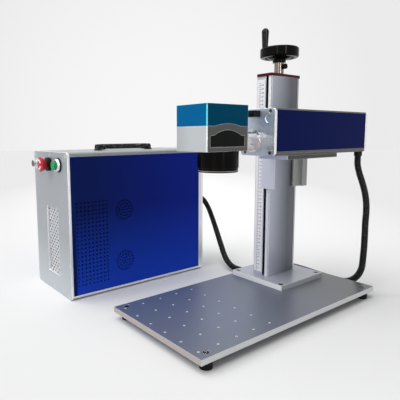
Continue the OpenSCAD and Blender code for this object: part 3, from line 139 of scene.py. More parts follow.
def ribbed_tube(name):
    """The hose's skin: a ring of edges extruded along the route and widened on each rib."""
    bm = bmesh.new()
    rings = hose_ribs * rings_per_rib
    last = len(hose_points) - 1
    at = station(0)
    ring = bmesh.ops.create_circle(bm, segments=hose_sides, radius=hose_diameter / 2,
                                   cap_ends=True, matrix=at)["verts"]
    edges = list({e for v in ring for e in v.link_edges})
    width = 1
    for i in range(1, rings + 1):
        new = bmesh.ops.extrude_edge_only(bm, edges=edges)["geom"]
        verts = [g for g in new if isinstance(g, bmesh.types.BMVert)]
        edges = [g for g in new if isinstance(g, bmesh.types.BMEdge)]
        rib = 0.5 + 0.5 * math.cos(i / rings_per_rib * 2 * math.pi)
        new_width = 1 - hose_rib_depth * (1 - rib) / (hose_diameter / 2)
        target = station(i / rings * last)
        bmesh.ops.transform(bm, verts=verts,
                            matrix=target @ Matrix.Scale(new_width / width, 4) @ at.inverted())
        at, width = target, new_width
    bmesh.ops.contextual_create(bm, geom=edges)
    bmesh.ops.recalc_face_normals(bm, faces=bm.faces[:])
    return piece(name, bm, crease_deg=80)


def paint(red, green, blue):
    """Linear colour of an sRGB tone that is given in steps of 0 to 255."""
    return [((c / 255 + 0.055) / 1.055) ** 2.4 if c > 10 else c / 255 / 12.92
            for c in (red, green, blue)] + [1]


def fill(tree, node, inputs):
    """Sets a node's inputs to values, or feeds them from the sockets of other nodes."""
    for name, value in inputs.items():
        if isinstance(value, bpy.types.NodeSocket):
            tree.links.new(value, node.inputs[name])
        else:
            node.inputs[name].default_value = value


def add(tree, kind, inputs=None, **settings):
    """Outputs of a new shader node with its settings and inputs."""
    node = tree.nodes.new("ShaderNode" + kind)
    for name, choice in settings.items():
        setattr(node, name, choice)
    fill(tree, node, inputs or {})
    return node.outputs


def between(tree, value, start, end, low=0, high=1):
    """Socket that goes from low to high as the value goes from start to end."""
    return add(tree, "MapRange", {"Value": value, "From Min": start, "From Max": end,
                                  "To Min": low, "To Max": high})["Result"]


def both(tree, one, other):
    """Socket with the product of two."""
    return add(tree, "Math", {0: one, 1: other}, operation="MULTIPLY")["Value"]


def cover(tree, colour, mask, tone):
    """Colour socket with the tone laid over it where the mask is 1."""
    share, under, over, mixed = 0, 6, 7, 2
    return add(tree, "Mix", {share: mask, under: colour, over: paint(*tone)},
               data_type="RGBA")[mixed]


# Where a mask starts and where it is full, on faces square to an axis, on all the others, on the
# tops of the grain where painted glints lie, on faces turned to two axes where upright corners get
# a painted highlight, and on rounded edges where a painted highlight or shade lies.
square, askew = (0.8, 0.9), (0.9, 0.8)
grain_tops = (0.6, 0.66)
upright_corners = (0.15, 0.35)
rounded_edges = (0.985, 0.86)
gloss_spread, least_gloss = 0.06, 0.02


def finish(name, tone, second_tone, metal, gloss, grain_mm, relief_mm, stretch=(1, 1, 1),
           patch_mm=60, painted_edge_light=None, edge_mm=0.6, shine=0.15, bands=(), face_tones_and_light=(), lines=(),
           corner_highlight=None, painted_glints=None):
    """Material with two near tones in soft patches, a fine grain in gloss and relief, rounded edges
    and, where they are given, a painted highlight or shade in an edge tone on the rounded edges and
    a painted highlight on upright corners. Tones also change across the piece, bands=(axis, from
    mm, to mm, tone), on faces that lie some way to an axis, mostly as painted highlight or shade on
    a piece's sides, (axis, from, to, tone, metal), and across the faces square to an axis,
    lines=(axis, from mm, to mm, tone, axis of the faces). Painted glints lie on the top of the
    grain."""
    material = bpy.data.materials.new(name)
    material.use_nodes = True
    tree = material.node_tree
    place = add(tree, "TexCoord")["Object"]
    patches = add(tree, "TexNoise", {"Vector": place, "Scale": 1 / (patch_mm * MM), "Detail": 3})
    spread = add(tree, "Mapping", {"Vector": place, "Scale": stretch})["Vector"]
    grain = add(tree, "TexNoise", {"Vector": spread, "Scale": 1 / (grain_mm * MM),
                                   "Detail": 2})["Fac"]
    rounded = add(tree, "Bevel", {"Radius": edge_mm * MM}, samples=4)["Normal"]
    relief = add(tree, "Bump", {"Height": grain, "Normal": rounded, "Distance": relief_mm * MM})
    flat = add(tree, "NewGeometry")["True Normal"]
    size = add(tree, "VectorMath", {0: flat}, operation="ABSOLUTE")["Vector"]
    facing = add(tree, "SeparateXYZ", {"Vector": size})
    where = add(tree, "SeparateXYZ", {"Vector": place})
    colour = cover(tree, paint(*tone), patches["Fac"], second_tone)
    # Painted glints on the tops of the grain.
    if painted_glints:
        colour = cover(tree, colour, between(tree, grain, *grain_tops), painted_glints)
    for axis, start, end, band_tone in bands:
        mask = between(tree, where[axis], start * MM, end * MM)
        colour = cover(tree, colour, mask, band_tone)
    metalness = metal
    # Faces turned some way to an axis: mostly painted highlight or shade on a piece's sides.
    for axis, start, end, face_tone, face_metal in face_tones_and_light:
        mask = between(tree, facing[axis], start, end)
        colour = cover(tree, colour, mask, face_tone)
        metalness = between(tree, mask, 0, 1, metalness, face_metal)
    for axis, start, end, line_tone, faces in lines:
        mask = both(tree, between(tree, where[axis], start * MM, end * MM),
                    between(tree, facing[faces], *square))
        colour = cover(tree, colour, mask, line_tone)
    # Painted highlight on upright corners.
    if corner_highlight:
        corner_highlight_mask = both(tree, facing["X"], facing["Y"])
        colour = cover(tree, colour, between(tree, corner_highlight_mask, *upright_corners), corner_highlight)
    # Painted highlight or shade on rounded edges.
    if painted_edge_light:
        lean = add(tree, "VectorMath", {0: rounded, 1: flat}, operation="DOT_PRODUCT")["Value"]
        colour = cover(tree, colour, between(tree, lean, *rounded_edges), painted_edge_light)
    fill(tree, tree.nodes["Principled BSDF"], {
        "Base Color": colour, "Metallic": metalness, "Specular IOR Level": shine,
        "Roughness": between(tree, grain, 0, 1, max(gloss - gloss_spread, least_gloss),
                             gloss + gloss_spread),
        "Normal": relief["Normal"]})
    return material


def wear(material, *names):
    """Gives CAD nodes their finish."""
    for name in names:
        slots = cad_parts[name].material_slots
        if not slots:
            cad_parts[name].data.materials.append(material)
        for slot in slots:
            slot.material = material


def dress(made, body, material):
    """Gives a new piece its finish and the body that carries it."""
    made.data.materials.append(material)
    if body:
        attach(made, body)


# Pale flecks on the tops of the grain are painted glints.
hose_skin = finish("hose_skin", (9, 9, 10), (16, 16, 17), metal=0, gloss=0.42, grain_mm=2.4,
                   relief_mm=0.15, patch_mm=12, painted_edge_light=(30, 30, 32), edge_mm=0.5, shine=0.12,
                   painted_glints=(110, 110, 104))
hose = ribbed_tube("hose_tube")
dress(hose, None, hose_skin)
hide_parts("hose")
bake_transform(hose)
wear(hose_skin, "hose")

# Floor and light
# A pale studio floor with a pool of light painted on it behind the stand, a pale backdrop and one
# broad soft light from the front left. The room is dimmer on the right, so that the faces there
# stay deep, and two upright light strips show in reflections only.
floor_reach = 12
painted_pool_pale, floor_pale = 0.96, 0.76
painted_pool_place = (-1.47, 0.99, 0)
painted_pool_turn_deg = 53
painted_pool_reach = (1.1, 2.6, 1)
painted_pool_fade = (0.3, 1.2)
floor_mesh = bmesh.new()
bmesh.ops.create_grid(floor_mesh, x_segments=1, y_segments=1, size=floor_reach)
floor = piece("floor", floor_mesh)
floor_look = bpy.data.materials.new("floor_look")
floor_look.use_nodes = True
floor_tree = floor_look.node_tree
spot = add(floor_tree, "TexCoord")["Object"]
painted_pool_at = add(floor_tree, "Mapping", vector_type="TEXTURE", inputs={
    "Vector": spot, "Location": painted_pool_place, "Rotation": (0, 0, math.radians(painted_pool_turn_deg)),
    "Scale": painted_pool_reach})["Vector"]
away = add(floor_tree, "VectorMath", {0: painted_pool_at}, operation="LENGTH")["Value"]
fill(floor_tree, floor_tree.nodes["Principled BSDF"], {
    "Base Color": between(floor_tree, away, *painted_pool_fade, painted_pool_pale, floor_pale),
    "Roughness": 0.9, "Specular IOR Level": 0})
floor.data.materials.append(floor_look)

room_level, mirrored_level = 0.55, 0.9
far_side = (-0.1, 0.6)
far_side_share, mirrored_side_share = 0.8, 0.85
strip_level = 16
strip_edge = (0.9975, 0.9985)
strip_headings = ((0.423, -0.904, 0), (0.969, -0.241, 0))
backdrop_heading = Vector((-0.79, 0.6, 0.02)).normalized()
backdrop_fade = (0.9, 1)
backdrop_pale = (0.83, 0.93)
world = bpy.data.worlds.new("studio")
world.use_nodes = True
scene.world = world
sky = world.node_tree
rays = add(sky, "LightPath")
heading = add(sky, "TexCoord")["Generated"]
mirrored = add(sky, "Math", {0: rays["Is Glossy Ray"], 1: rays["Is Transmission Ray"]},
               operation="MAXIMUM")["Value"]
level = between(sky, mirrored, 0, 1, room_level, mirrored_level)
far_share = between(sky, mirrored, 0, 1, far_side_share, mirrored_side_share)
to_the_right = add(sky, "SeparateXYZ", {"Vector": heading})["X"]
lit = both(sky, level, between(sky, to_the_right, *far_side, 1, far_share))
level_part = add(sky, "VectorMath", {0: heading, 1: (1, 1, 0)}, operation="MULTIPLY")["Vector"]
level_heading = add(sky, "VectorMath", {0: level_part}, operation="NORMALIZE")["Vector"]
for strip_heading in strip_headings:
    near = add(sky, "VectorMath", {0: level_heading, 1: strip_heading},
               operation="DOT_PRODUCT")["Value"]
    strip = both(sky, between(sky, near, *strip_edge, 0, strip_level), mirrored)
    lit = add(sky, "Math", {0: strip, 1: lit}, operation="ADD")["Value"]
middle = add(sky, "VectorMath", {0: heading, 1: backdrop_heading},
             operation="DOT_PRODUCT")["Value"]
backdrop = between(sky, middle, *backdrop_fade, *backdrop_pale)
strength = add(sky, "Mix", {"Factor": rays["Is Camera Ray"], "A": lit, "B": backdrop})["Result"]
fill(sky, sky.nodes["Background"], {"Color": (1, 1, 1, 1), "Strength": strength})

sun_data = bpy.data.lights.new("soft_light", "SUN")
sun_data.energy = 2.15
sun_data.angle = math.radians(70)
sun_heading = Vector((-0.4, -0.65, 1.25))
sun = bpy.data.objects.new("soft_light", sun_data)
sun.rotation_euler = sun_heading.to_track_quat("Z", "Y").to_euler()
scene.collection.objects.link(sun)


# Work plate
# A thick cast and milled aluminium plate, anodised grey, with drilled and countersunk fixing holes;
# its sides and countersinks are painted white as highlights, its front face pinkish grey and its
# right side pale grey as painted light, its edges carry a painted highlight, and its top changes
# tone towards the right and the back as a painted reflection. Socket screws hold four rubber feet.
def limits_mm(name):
    """Lowest and highest x, y and z of a CAD node, in mm."""
    return [[reach / MM for reach in corner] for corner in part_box(name)]


(left, front, _), (right, back, _) = limits_mm("base_plate")
plate_face = finish("plate_anodised", (102, 116, 150), (112, 124, 154), metal=0.45, gloss=0.36,
                    grain_mm=0.5, relief_mm=0.01, patch_mm=140, painted_edge_light=(240, 238, 240),
                    edge_mm=1, shine=0.3,
                    bands=[("X", left + 21.5, right - 8.5, (120, 126, 142)),
                           ("Y", front + 158, back - 32, (108, 109, 110))],
                    face_tones_and_light=[("Z", *askew, (255, 255, 255), 0)],
                    lines=[("Y", front + 2, front + 1, (176, 167, 165), "Y"),
                           ("X", right - 1.5, right - 0.5, (222, 223, 224), "X")])
wear(plate_face, "base_plate")
moulded_rubber = finish("moulded_rubber", (20, 20, 20), (27, 27, 27), metal=0, gloss=0.75,
                        grain_mm=0.4, relief_mm=0.04)
wear(moulded_rubber, "rubber_feet")
stand_screw = finish("oxide_screw", (34, 34, 37), (48, 48, 52), metal=0.8, gloss=0.25, grain_mm=0.3,
                     relief_mm=0.01, patch_mm=8, painted_edge_light=(236, 236, 238), edge_mm=0.5)
wear(stand_screw, "stand_screws")

# Column
# An extruded and satin anodised aluminium profile on a bolted foot plate, with a pressed side
# cover and a moulded dark red cap.
_, (right, _, _) = limits_mm("column_profile")
# The profile's right side, inside the slot under the cover, is painted near-black as shade.
column_metal = finish("column_anodised", (200, 202, 216), (208, 210, 222), metal=0.5, gloss=0.32,
                      grain_mm=0.6, relief_mm=0.01, stretch=(1, 1, 0.02), painted_edge_light=(245, 245, 248),
                      edge_mm=1, lines=[("X", right - 1, right - 0.5, (24, 26, 30), "X")])
wear(column_metal, "column_profile")
(_, front, _), (_, back, _) = limits_mm("column_cover")
# The cover's side is painted darker towards the back as the shading of a rounded side, and carries
# a dark line and a light line near its back edge; its faces that don't face sideways are painted
# near-white as a highlight.
cover_metal = finish("cover_anodised", (192, 197, 212), (199, 202, 216), metal=0.45, gloss=0.3,
                     grain_mm=0.6, relief_mm=0.01, stretch=(1, 1, 0.02), painted_edge_light=(250, 250, 252),
                     edge_mm=1.2,
                     bands=[("Y", front + 3, front + 78, (112, 115, 123)),
                            ("Y", back - 13, back - 11, (64, 66, 70)),
                            ("Y", back - 10, back - 9, (190, 191, 196))],
                     face_tones_and_light=[("X", 0.5, 0.3, (252, 252, 254), 0.2)])
wear(cover_metal, "column_cover")
_, (_, _, top) = limits_mm("column_base")
# The foot's sides are painted lighter than its top and its front near-white, as painted light.
foot_metal = finish("foot_anodised", (178, 181, 192), (186, 189, 199), metal=0.4, gloss=0.34,
                    grain_mm=0.6, relief_mm=0.01, painted_edge_light=(252, 252, 255), edge_mm=2.4,
                    bands=[("Z", top - 0.5, top - 1, (206, 208, 214))],
                    face_tones_and_light=[("Y", *square, (252, 254, 255), 0)])
wear(foot_metal, "column_base")
cap_plastic = finish("cap_plastic", (84, 8, 24), (64, 6, 18), metal=0, gloss=0.3, grain_mm=0.8,
                     relief_mm=0.01, painted_edge_light=(128, 30, 44), edge_mm=0.8)
wear(cap_plastic, "column_cap")

# Height scale
# A printed strip glued on the column's front, with a tick every 5 mm and the height in
# centimetres at every second one.
strip_face = finish("printed_strip", (250, 250, 253), (253, 253, 255), metal=0, gloss=0.35,
                    grain_mm=0.5, relief_mm=0.005, shine=0.3)
wear(strip_face, "column_scale")
print_black = finish("print_black", (12, 12, 16), (18, 18, 22), metal=0, gloss=0.5, grain_mm=0.4,
                     relief_mm=0.002)
strip_low, strip_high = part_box("column_scale")
tick_pitch = 5 * MM
ticks_per_number = 2
tick_height = 1.2 * MM
tick_width = 3.5 * MM
long_tick_width = 6 * MM
print_lift = 0.06 * MM
number_size = 6.5 * MM
strip_middle = (strip_low[0] + strip_high[0]) / 2
scale_print = bmesh.new()
tick_count = int((strip_high[2] - strip_low[2]) / tick_pitch)
for i in range(1, tick_count):
    width = long_tick_width if i % ticks_per_number == 0 else tick_width
    at = (strip_middle + width / 2 - long_tick_width, strip_low[1] - print_lift,
          strip_low[2] + i * tick_pitch)
    bmesh.ops.create_grid(scale_print, x_segments=1, y_segments=1, size=0.5,
                          matrix=Matrix.Translation(at) @ Matrix.Rotation(math.pi / 2, 4, "X")
                          @ Matrix.Diagonal((width, tick_height, 1, 1)))
for i in range(ticks_per_number, tick_count, ticks_per_number):
    words = bpy.data.curves.new("number", "FONT")
    words.body = str(i // ticks_per_number)
    words.size = number_size
    words.align_x = "LEFT"
    words.align_y = "CENTER"
    words.resolution_u = 2
    written = bpy.data.objects.new("number", words)
    shape = bpy.data.meshes.new_from_object(written)
    shape.transform(Matrix.Translation((strip_middle + long_tick_width / 4,
                                        strip_low[1] - print_lift,
                                        strip_low[2] + i * tick_pitch))
                    @ Matrix.Rotation(math.pi / 2, 4, "X"))
    scale_print.from_mesh(shape)
    bpy.data.objects.remove(written)
    bpy.data.curves.remove(words)
    bpy.data.meshes.remove(shape)
dress(piece("scale_print", scale_print), "root", print_black)

# Lifting screw
# Two ground guide rods, two bearings and a turned lead screw inside the column. The screw comes out
# through a turned lock boss on the cap.
ground_steel = finish("ground_steel", (190, 191, 194), (200, 200, 203), metal=1, gloss=0.16,
                      grain_mm=0.3, relief_mm=0.005, patch_mm=20)
wear(ground_steel, "guide_rods", "lead_screw", "grip_pin")
bearing_metal = finish("bearing_anodised", (120, 122, 128), (132, 133, 138), metal=0.6, gloss=0.35,
                       grain_mm=0.5, relief_mm=0.01, painted_edge_light=(190, 190, 194))
wear(bearing_metal, "screw_bearings", "carriage_block")
brass = finish("turned_brass", (190, 150, 84), (204, 164, 96), metal=0.95, gloss=0.25, grain_mm=0.4,
               relief_mm=0.01, painted_edge_light=(232, 200, 140), patch_mm=15)
wear(brass, "lead_nut")
boss_metal = finish("turned_boss", (124, 112, 104), (150, 138, 128), metal=0.95, gloss=0.14,
                    grain_mm=0.3, relief_mm=0.01, stretch=(1, 1, 8), painted_edge_light=(214, 204, 198),
                    edge_mm=0.8, patch_mm=14)
wear(boss_metal, "lock_boss")

# Handwheel
# A glossy moulded wheel with a turning tapered grip, screwed on the lifting screw, and a lobed
# clamp knob on the lock boss.
wheel_plastic = finish("wheel_plastic", (9, 10, 9), (13, 14, 13), metal=0, gloss=0.11, grain_mm=0.9,
                       relief_mm=0.002, shine=0.07, painted_edge_light=(58, 60, 58), edge_mm=1.2)
wear(wheel_plastic, "handwheel", "clamp_knob")
# Pale flecks along the grip are painted glints.
grip_plastic = finish("grip_plastic", (22, 22, 21), (29, 29, 28), metal=0, gloss=0.2, grain_mm=2.2,
                      relief_mm=0.03, shine=0.2, stretch=(1, 1, 0.04), painted_glints=(84, 85, 83))
wear(grip_plastic, "wheel_grip")

# Carriage
# Milled and anodised wings that come out of the column's slots, and the bent support plate under
# the arm.
carriage_metal = finish("carriage_anodised", (226, 229, 242), (232, 235, 246), metal=0.2,
                        gloss=0.32, grain_mm=0.6, relief_mm=0.01, painted_edge_light=(250, 250, 252),
                        edge_mm=1.2)
wear(carriage_metal, "front_wing")
# The rear wing is painted a darker grey than the front wing, as painted shade.
rear_wing_shade = finish("rear_wing_shaded_anodised", (168, 168, 167), (175, 175, 173), metal=0.3, gloss=0.32,
                    grain_mm=0.6, relief_mm=0.01, painted_edge_light=(220, 219, 216), edge_mm=1.2)
wear(rear_wing_shade, "rear_wing")
# The support plate is painted dark grey as shade, and its front faces lavender as painted light.
support_metal = finish("support_anodised", (76, 76, 74), (83, 83, 81), metal=0.5, gloss=0.34,
                       grain_mm=0.6, relief_mm=0.01, painted_edge_light=(246, 246, 248), edge_mm=1.2,
                       face_tones_and_light=[("Y", *square, (214, 216, 240), 0.2)])
wear(support_metal, "support_plate")

# Arm
# An aluminium extrusion with powder coated side panels slid into it, closed by two end plates with
# socket screws; the beam flange at its front carries the tube to the head.
arm_metal = finish("arm_anodised", (95, 95, 94), (104, 104, 102), metal=0.45, gloss=0.32,
                   grain_mm=0.6, relief_mm=0.01, painted_edge_light=(190, 190, 192), edge_mm=0.8)
wear(arm_metal, "arm_housing")
# The end plates' sides are painted near-white as a highlight.
plate_metal = finish("arm_plate_anodised", (190, 200, 212), (204, 212, 222), metal=0.6, gloss=0.26,
                     grain_mm=0.6, relief_mm=0.01, stretch=(1, 1, 0.1), painted_edge_light=(252, 252, 253),
                     edge_mm=2, patch_mm=40, face_tones_and_light=[("Y", *askew, (250, 250, 251), 1)])
wear(plate_metal, "arm_front_plate", "arm_rear_plate")
navy_coat = finish("navy_powder_coat", (9, 23, 80), (10, 25, 84), metal=0, gloss=0.5, grain_mm=0.5,
                   relief_mm=0.03, patch_mm=120, painted_edge_light=(34, 46, 110), edge_mm=0.8, shine=0.03)
wear(navy_coat, "arm_side_panels")
socket_black = finish("oxide_steel", (62, 62, 66), (78, 78, 82), metal=0.8, gloss=0.3, grain_mm=0.3,
                      relief_mm=0.01, painted_edge_light=(170, 170, 174), edge_mm=0.4, patch_mm=8)
wear(socket_black, "arm_screws")
flange_metal = finish("turned_flange", (214, 208, 206), (226, 220, 218), metal=0.85, gloss=0.18,
                      grain_mm=0.3, relief_mm=0.005, stretch=(1, 12, 1), painted_edge_light=(250, 249, 249),
                      edge_mm=1, patch_mm=18)
wear(flange_metal, "beam_flange", "collimator")
moulded_black = finish("moulded_black", (18, 18, 19), (25, 25, 26), metal=0, gloss=0.42,
                       grain_mm=0.5, relief_mm=0.02, painted_edge_light=(46, 46, 48), edge_mm=0.6)
wear(moulded_black, "arm_gland", "head_cable", "hose_gland", "power_inlet", "fan_frames",
     "fan_rotor_upper", "fan_rotor_lower")

# Scan head
# A satin cast lower housing and an anodised blue cover with dark acrylic side windows. Inside, two
# galvanometer motors turn the mirrors; under it, a black anodised lens barrel.
(left, _, _), _ = limits_mm("head_base")
# The housing's sides square to X are painted darker as shade and its upright corners carry a
# painted highlight; it is also painted lighter towards the right.
head_metal = finish("head_cast", (178, 183, 186), (188, 192, 195), metal=0.4, gloss=0.34,
                    grain_mm=0.7, relief_mm=0.02, painted_edge_light=(246, 247, 248), edge_mm=1.5,
                    corner_highlight=(250, 251, 252),
                    bands=[("X", left + 1.9, left + 46.9, (198, 203, 206))],
                    face_tones_and_light=[("X", *square, (94, 95, 93), 0.4)])
wear(head_metal, "head_base")
# The cover's sides square to X are painted darker as shade, and its upright corners and edges carry
# a painted cyan highlight.
head_paint = finish("head_blue", (0, 98, 153), (0, 104, 158), metal=0.5, gloss=0.34, grain_mm=0.5,
                    relief_mm=0.02, shine=0.02, painted_edge_light=(20, 160, 200), edge_mm=1.5,
                    corner_highlight=(120, 225, 245), face_tones_and_light=[("X", *square, (0, 69, 99), 0.4)])
wear(head_paint, "head_cover")
# The windows' edges carry a painted white highlight.
acrylic = finish("dark_acrylic", (14, 17, 16), (18, 21, 20), metal=0, gloss=0.2, grain_mm=0.9,
                 relief_mm=0.002, shine=0.08, painted_edge_light=(225, 228, 228), edge_mm=0.7)
wear(acrylic, "head_windows")
motor_black = finish("motor_anodised", (30, 30, 33), (38, 38, 41), metal=0.5, gloss=0.35,
                     grain_mm=0.4, relief_mm=0.01, painted_edge_light=(120, 120, 124))
wear(motor_black, "galvo_motors")
mirror_face = finish("mirror_face", (214, 196, 168), (222, 206, 180), metal=1, gloss=0.04,
                     grain_mm=0.9, relief_mm=0.001)
wear(mirror_face, "x_mirror", "y_mirror")
(_, _, bottom), _ = limits_mm("lens_barrel")
lens_black = finish("lens_anodised", (5, 6, 6), (14, 11, 10), metal=0, gloss=0.16, grain_mm=0.3,
                    relief_mm=0.004, patch_mm=16, stretch=(1, 1, 10), painted_edge_light=(96, 88, 84),
                    edge_mm=0.6, shine=0.06,
                    bands=[("Z", bottom + 3.6, bottom + 3.4, (190, 180, 172)),
                           ("Z", bottom + 2.6, bottom + 2.4, (14, 13, 13))])
wear(lens_black, "lens_barrel")
coated_glass = finish("coated_glass", (70, 58, 92), (86, 66, 74), metal=0.4, gloss=0.05,
                      grain_mm=0.9, relief_mm=0.001, shine=0.6)
wear(coated_glass, "lens_glass")

# Cabinet
# A bent and painted steel frame with bolted front and rear plates and powder coated perforated
# side panels.
(left, front, _), (right, _, _) = limits_mm("cabinet_frame")
(_, panel_front, panel_bottom), (_, panel_back, panel_top) = limits_mm("cabinet_side_panels")
# The frame's sides square to X are painted near-white as a highlight, with a navy painted shadow
# line from the front edge back to the panel, a painted highlight along the bottom under the panel
# and a grey band above it; their inner faces are painted near-black as shade and the outer left
# side white.
cabinet_paint = finish("cabinet_silver_paint", (168, 172, 174), (176, 180, 182), metal=0.3,
                       gloss=0.4, grain_mm=0.5, relief_mm=0.015, patch_mm=120,
                       face_tones_and_light=[("X", *square, (240, 242, 243), 1)],
                       lines=[("Y", front + 0.5, front + 1, (17, 32, 92), "X"),
                              ("Y", panel_front + 0.5, panel_front + 1, (236, 238, 239), "X"),
                              ("Z", panel_top - 0.5, panel_top + 0.5, (160, 165, 171), "X"),
                              ("Z", panel_bottom + 0.5, panel_bottom - 0.5, (246, 247, 248), "X"),
                              ("X", right - 0.5, right - 1.5, (8, 8, 12), "X"),
                              ("X", left + 2.5, left + 1.5, (236, 238, 239), "X")])
wear(cabinet_paint, "cabinet_frame")
(_, _, bottom), _ = limits_mm("cabinet_front_plate")
# The end plates' sides and rounded edges are painted near-white as highlights, and the plates are
# painted lighter towards the bottom.
end_paint = finish("end_plate_paint", (164, 169, 174), (172, 176, 181), metal=0.3, gloss=0.36,
                   grain_mm=0.5, relief_mm=0.012, patch_mm=130, painted_edge_light=(252, 252, 252),
                   edge_mm=2.4, bands=[("Z", bottom + 160, bottom + 20, (190, 196, 202))],
                   face_tones_and_light=[("Y", *askew, (252, 252, 253), 1)])
wear(end_paint, "cabinet_front_plate", "cabinet_rear_plate")
# The panels are painted a brighter blue towards the back and the bottom as a painted reflection of
# the lit floor, and the walls and rims of their holes near-black as painted shade.
side_coat = finish("side_powder_coat", (16, 31, 92), (17, 33, 97), metal=0, gloss=0.5, grain_mm=0.5,
                   relief_mm=0.03, patch_mm=200, painted_edge_light=(3, 4, 12), edge_mm=1.7, shine=0.03,
                   bands=[("Y", panel_front + 54, panel_back - 23, (22, 41, 147)),
                          ("Z", panel_bottom + 219, panel_bottom - 11, (28, 69, 196))],
                   face_tones_and_light=[("X", *askew, (3, 4, 9), 0)])
wear(side_coat, "cabinet_side_panels")
# The rims of the screw heads are painted dark as shade.
bright_screw = finish("bright_screw", (250, 250, 252), (254, 254, 255), metal=0.3, gloss=0.2,
                      grain_mm=0.3, relief_mm=0.01, patch_mm=12, painted_edge_light=(30, 30, 34),
                      edge_mm=1.6)
wear(bright_screw, "cabinet_screws")

# Front vent
# A panel of expanded aluminium mesh behind the slot in the front plate, so that air is drawn
# through it.
mesh_low, mesh_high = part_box("vent_mesh")
strand_pitch = 11.5 * MM
strand_thick = 7 * MM
grid_spare = 1.5
vent = bmesh.new()
vent_width = mesh_high[0] - mesh_low[0]
vent_height = mesh_high[2] - mesh_low[2]
cells = int(vent_height / strand_pitch * grid_spare)
bmesh.ops.create_grid(vent, x_segments=cells, y_segments=cells, size=cells * strand_pitch / 2,
                      matrix=Matrix.Rotation(math.pi / 4, 4, "Z"))
for reach, way in ((vent_width / 2, Vector((1, 0, 0))), (vent_height / 2, Vector((0, 1, 0)))):
    for way_out in (way, -way):
        bmesh.ops.bisect_plane(vent, geom=vent.verts[:] + vent.edges[:] + vent.faces[:],
                               plane_co=way_out * reach, plane_no=way_out, clear_outer=True)
bmesh.ops.wireframe(vent, faces=vent.faces[:], thickness=strand_thick, offset=0, use_replace=True,
                    use_boundary=True, use_even_offset=True, use_crease=False)
vent_middle = (Vector(mesh_low) + Vector(mesh_high)) / 2
flatten = Matrix.Diagonal((1, 1, (mesh_high[1] - mesh_low[1]) / strand_thick, 1))
bmesh.ops.transform(vent, verts=vent.verts[:],
                    matrix=Matrix.Translation(vent_middle) @ Matrix.Rotation(math.pi / 2, 4, "X")
                    @ flatten)
bmesh.ops.recalc_face_normals(vent, faces=vent.faces[:])
mesh_metal = finish("expanded_mesh_metal", (196, 199, 203), (206, 208, 212), metal=0.4, gloss=0.34,
                    grain_mm=0.5, relief_mm=0.02, patch_mm=20, painted_edge_light=(236, 236, 238),
                    edge_mm=0.4)
expanded = piece("expanded_mesh", vent)
dress(expanded, "root", mesh_metal)
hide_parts("vent_mesh")
wear(mesh_metal, "vent_mesh")

# Inside the cabinet
# The fibre laser in its ribbed aluminium case, the power supply in a folded and pierced one, and a
# dark pleated sheet behind the left panel's holes, put there as painted shade so that they show
# dark.
inner_metal = finish("inner_anodised", (54, 56, 62), (62, 64, 70), metal=0.4, gloss=0.4,
                     grain_mm=0.6, relief_mm=0.01, painted_edge_light=(150, 152, 156))
wear(inner_metal, "laser_source")
zinc_sheet = finish("zinc_sheet", (92, 94, 92), (106, 106, 102), metal=0.6, gloss=0.35, grain_mm=2,
                    relief_mm=0.01, patch_mm=9, painted_edge_light=(214, 214, 212))
wear(zinc_sheet, "power_supply")
panel_low, panel_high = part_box("cabinet_side_panels")
filter_gap = 3 * MM
filter_inset = 20 * MM
pleats = 44
pleat_depth = 0.5 * MM
filter_thick = 1 * MM
# A dark sheet behind the holes, as painted shade.
shade_filter_pad = bmesh.new()
bmesh.ops.create_grid(shade_filter_pad, x_segments=4 * pleats, y_segments=2, size=0.5)
for v in shade_filter_pad.verts:
    v.co.z = pleat_depth * math.cos(v.co.x * 2 * pleats * math.pi)
bmesh.ops.transform(shade_filter_pad, verts=shade_filter_pad.verts[:], matrix=(
    Matrix.Translation((panel_low[0] + filter_gap, (panel_low[1] + panel_high[1]) / 2,
                        (panel_low[2] + panel_high[2]) / 2))
    @ Matrix.Rotation(math.pi / 2, 4, "Z") @ Matrix.Rotation(math.pi / 2, 4, "X")
    @ Matrix.Diagonal((panel_high[1] - panel_low[1] - filter_inset,
                       panel_high[2] - panel_low[2] - filter_inset, 1, 1))))
bmesh.ops.solidify(shade_filter_pad, geom=shade_filter_pad.faces[:], thickness=filter_thick)
shade_filter_felt = finish("shade_filter_felt", (30, 31, 33), (40, 41, 43), metal=0, gloss=0.9, grain_mm=0.6,
                     relief_mm=0.1, patch_mm=20)
dress(piece("shade_filter_sheet", shade_filter_pad), "root", shade_filter_felt)


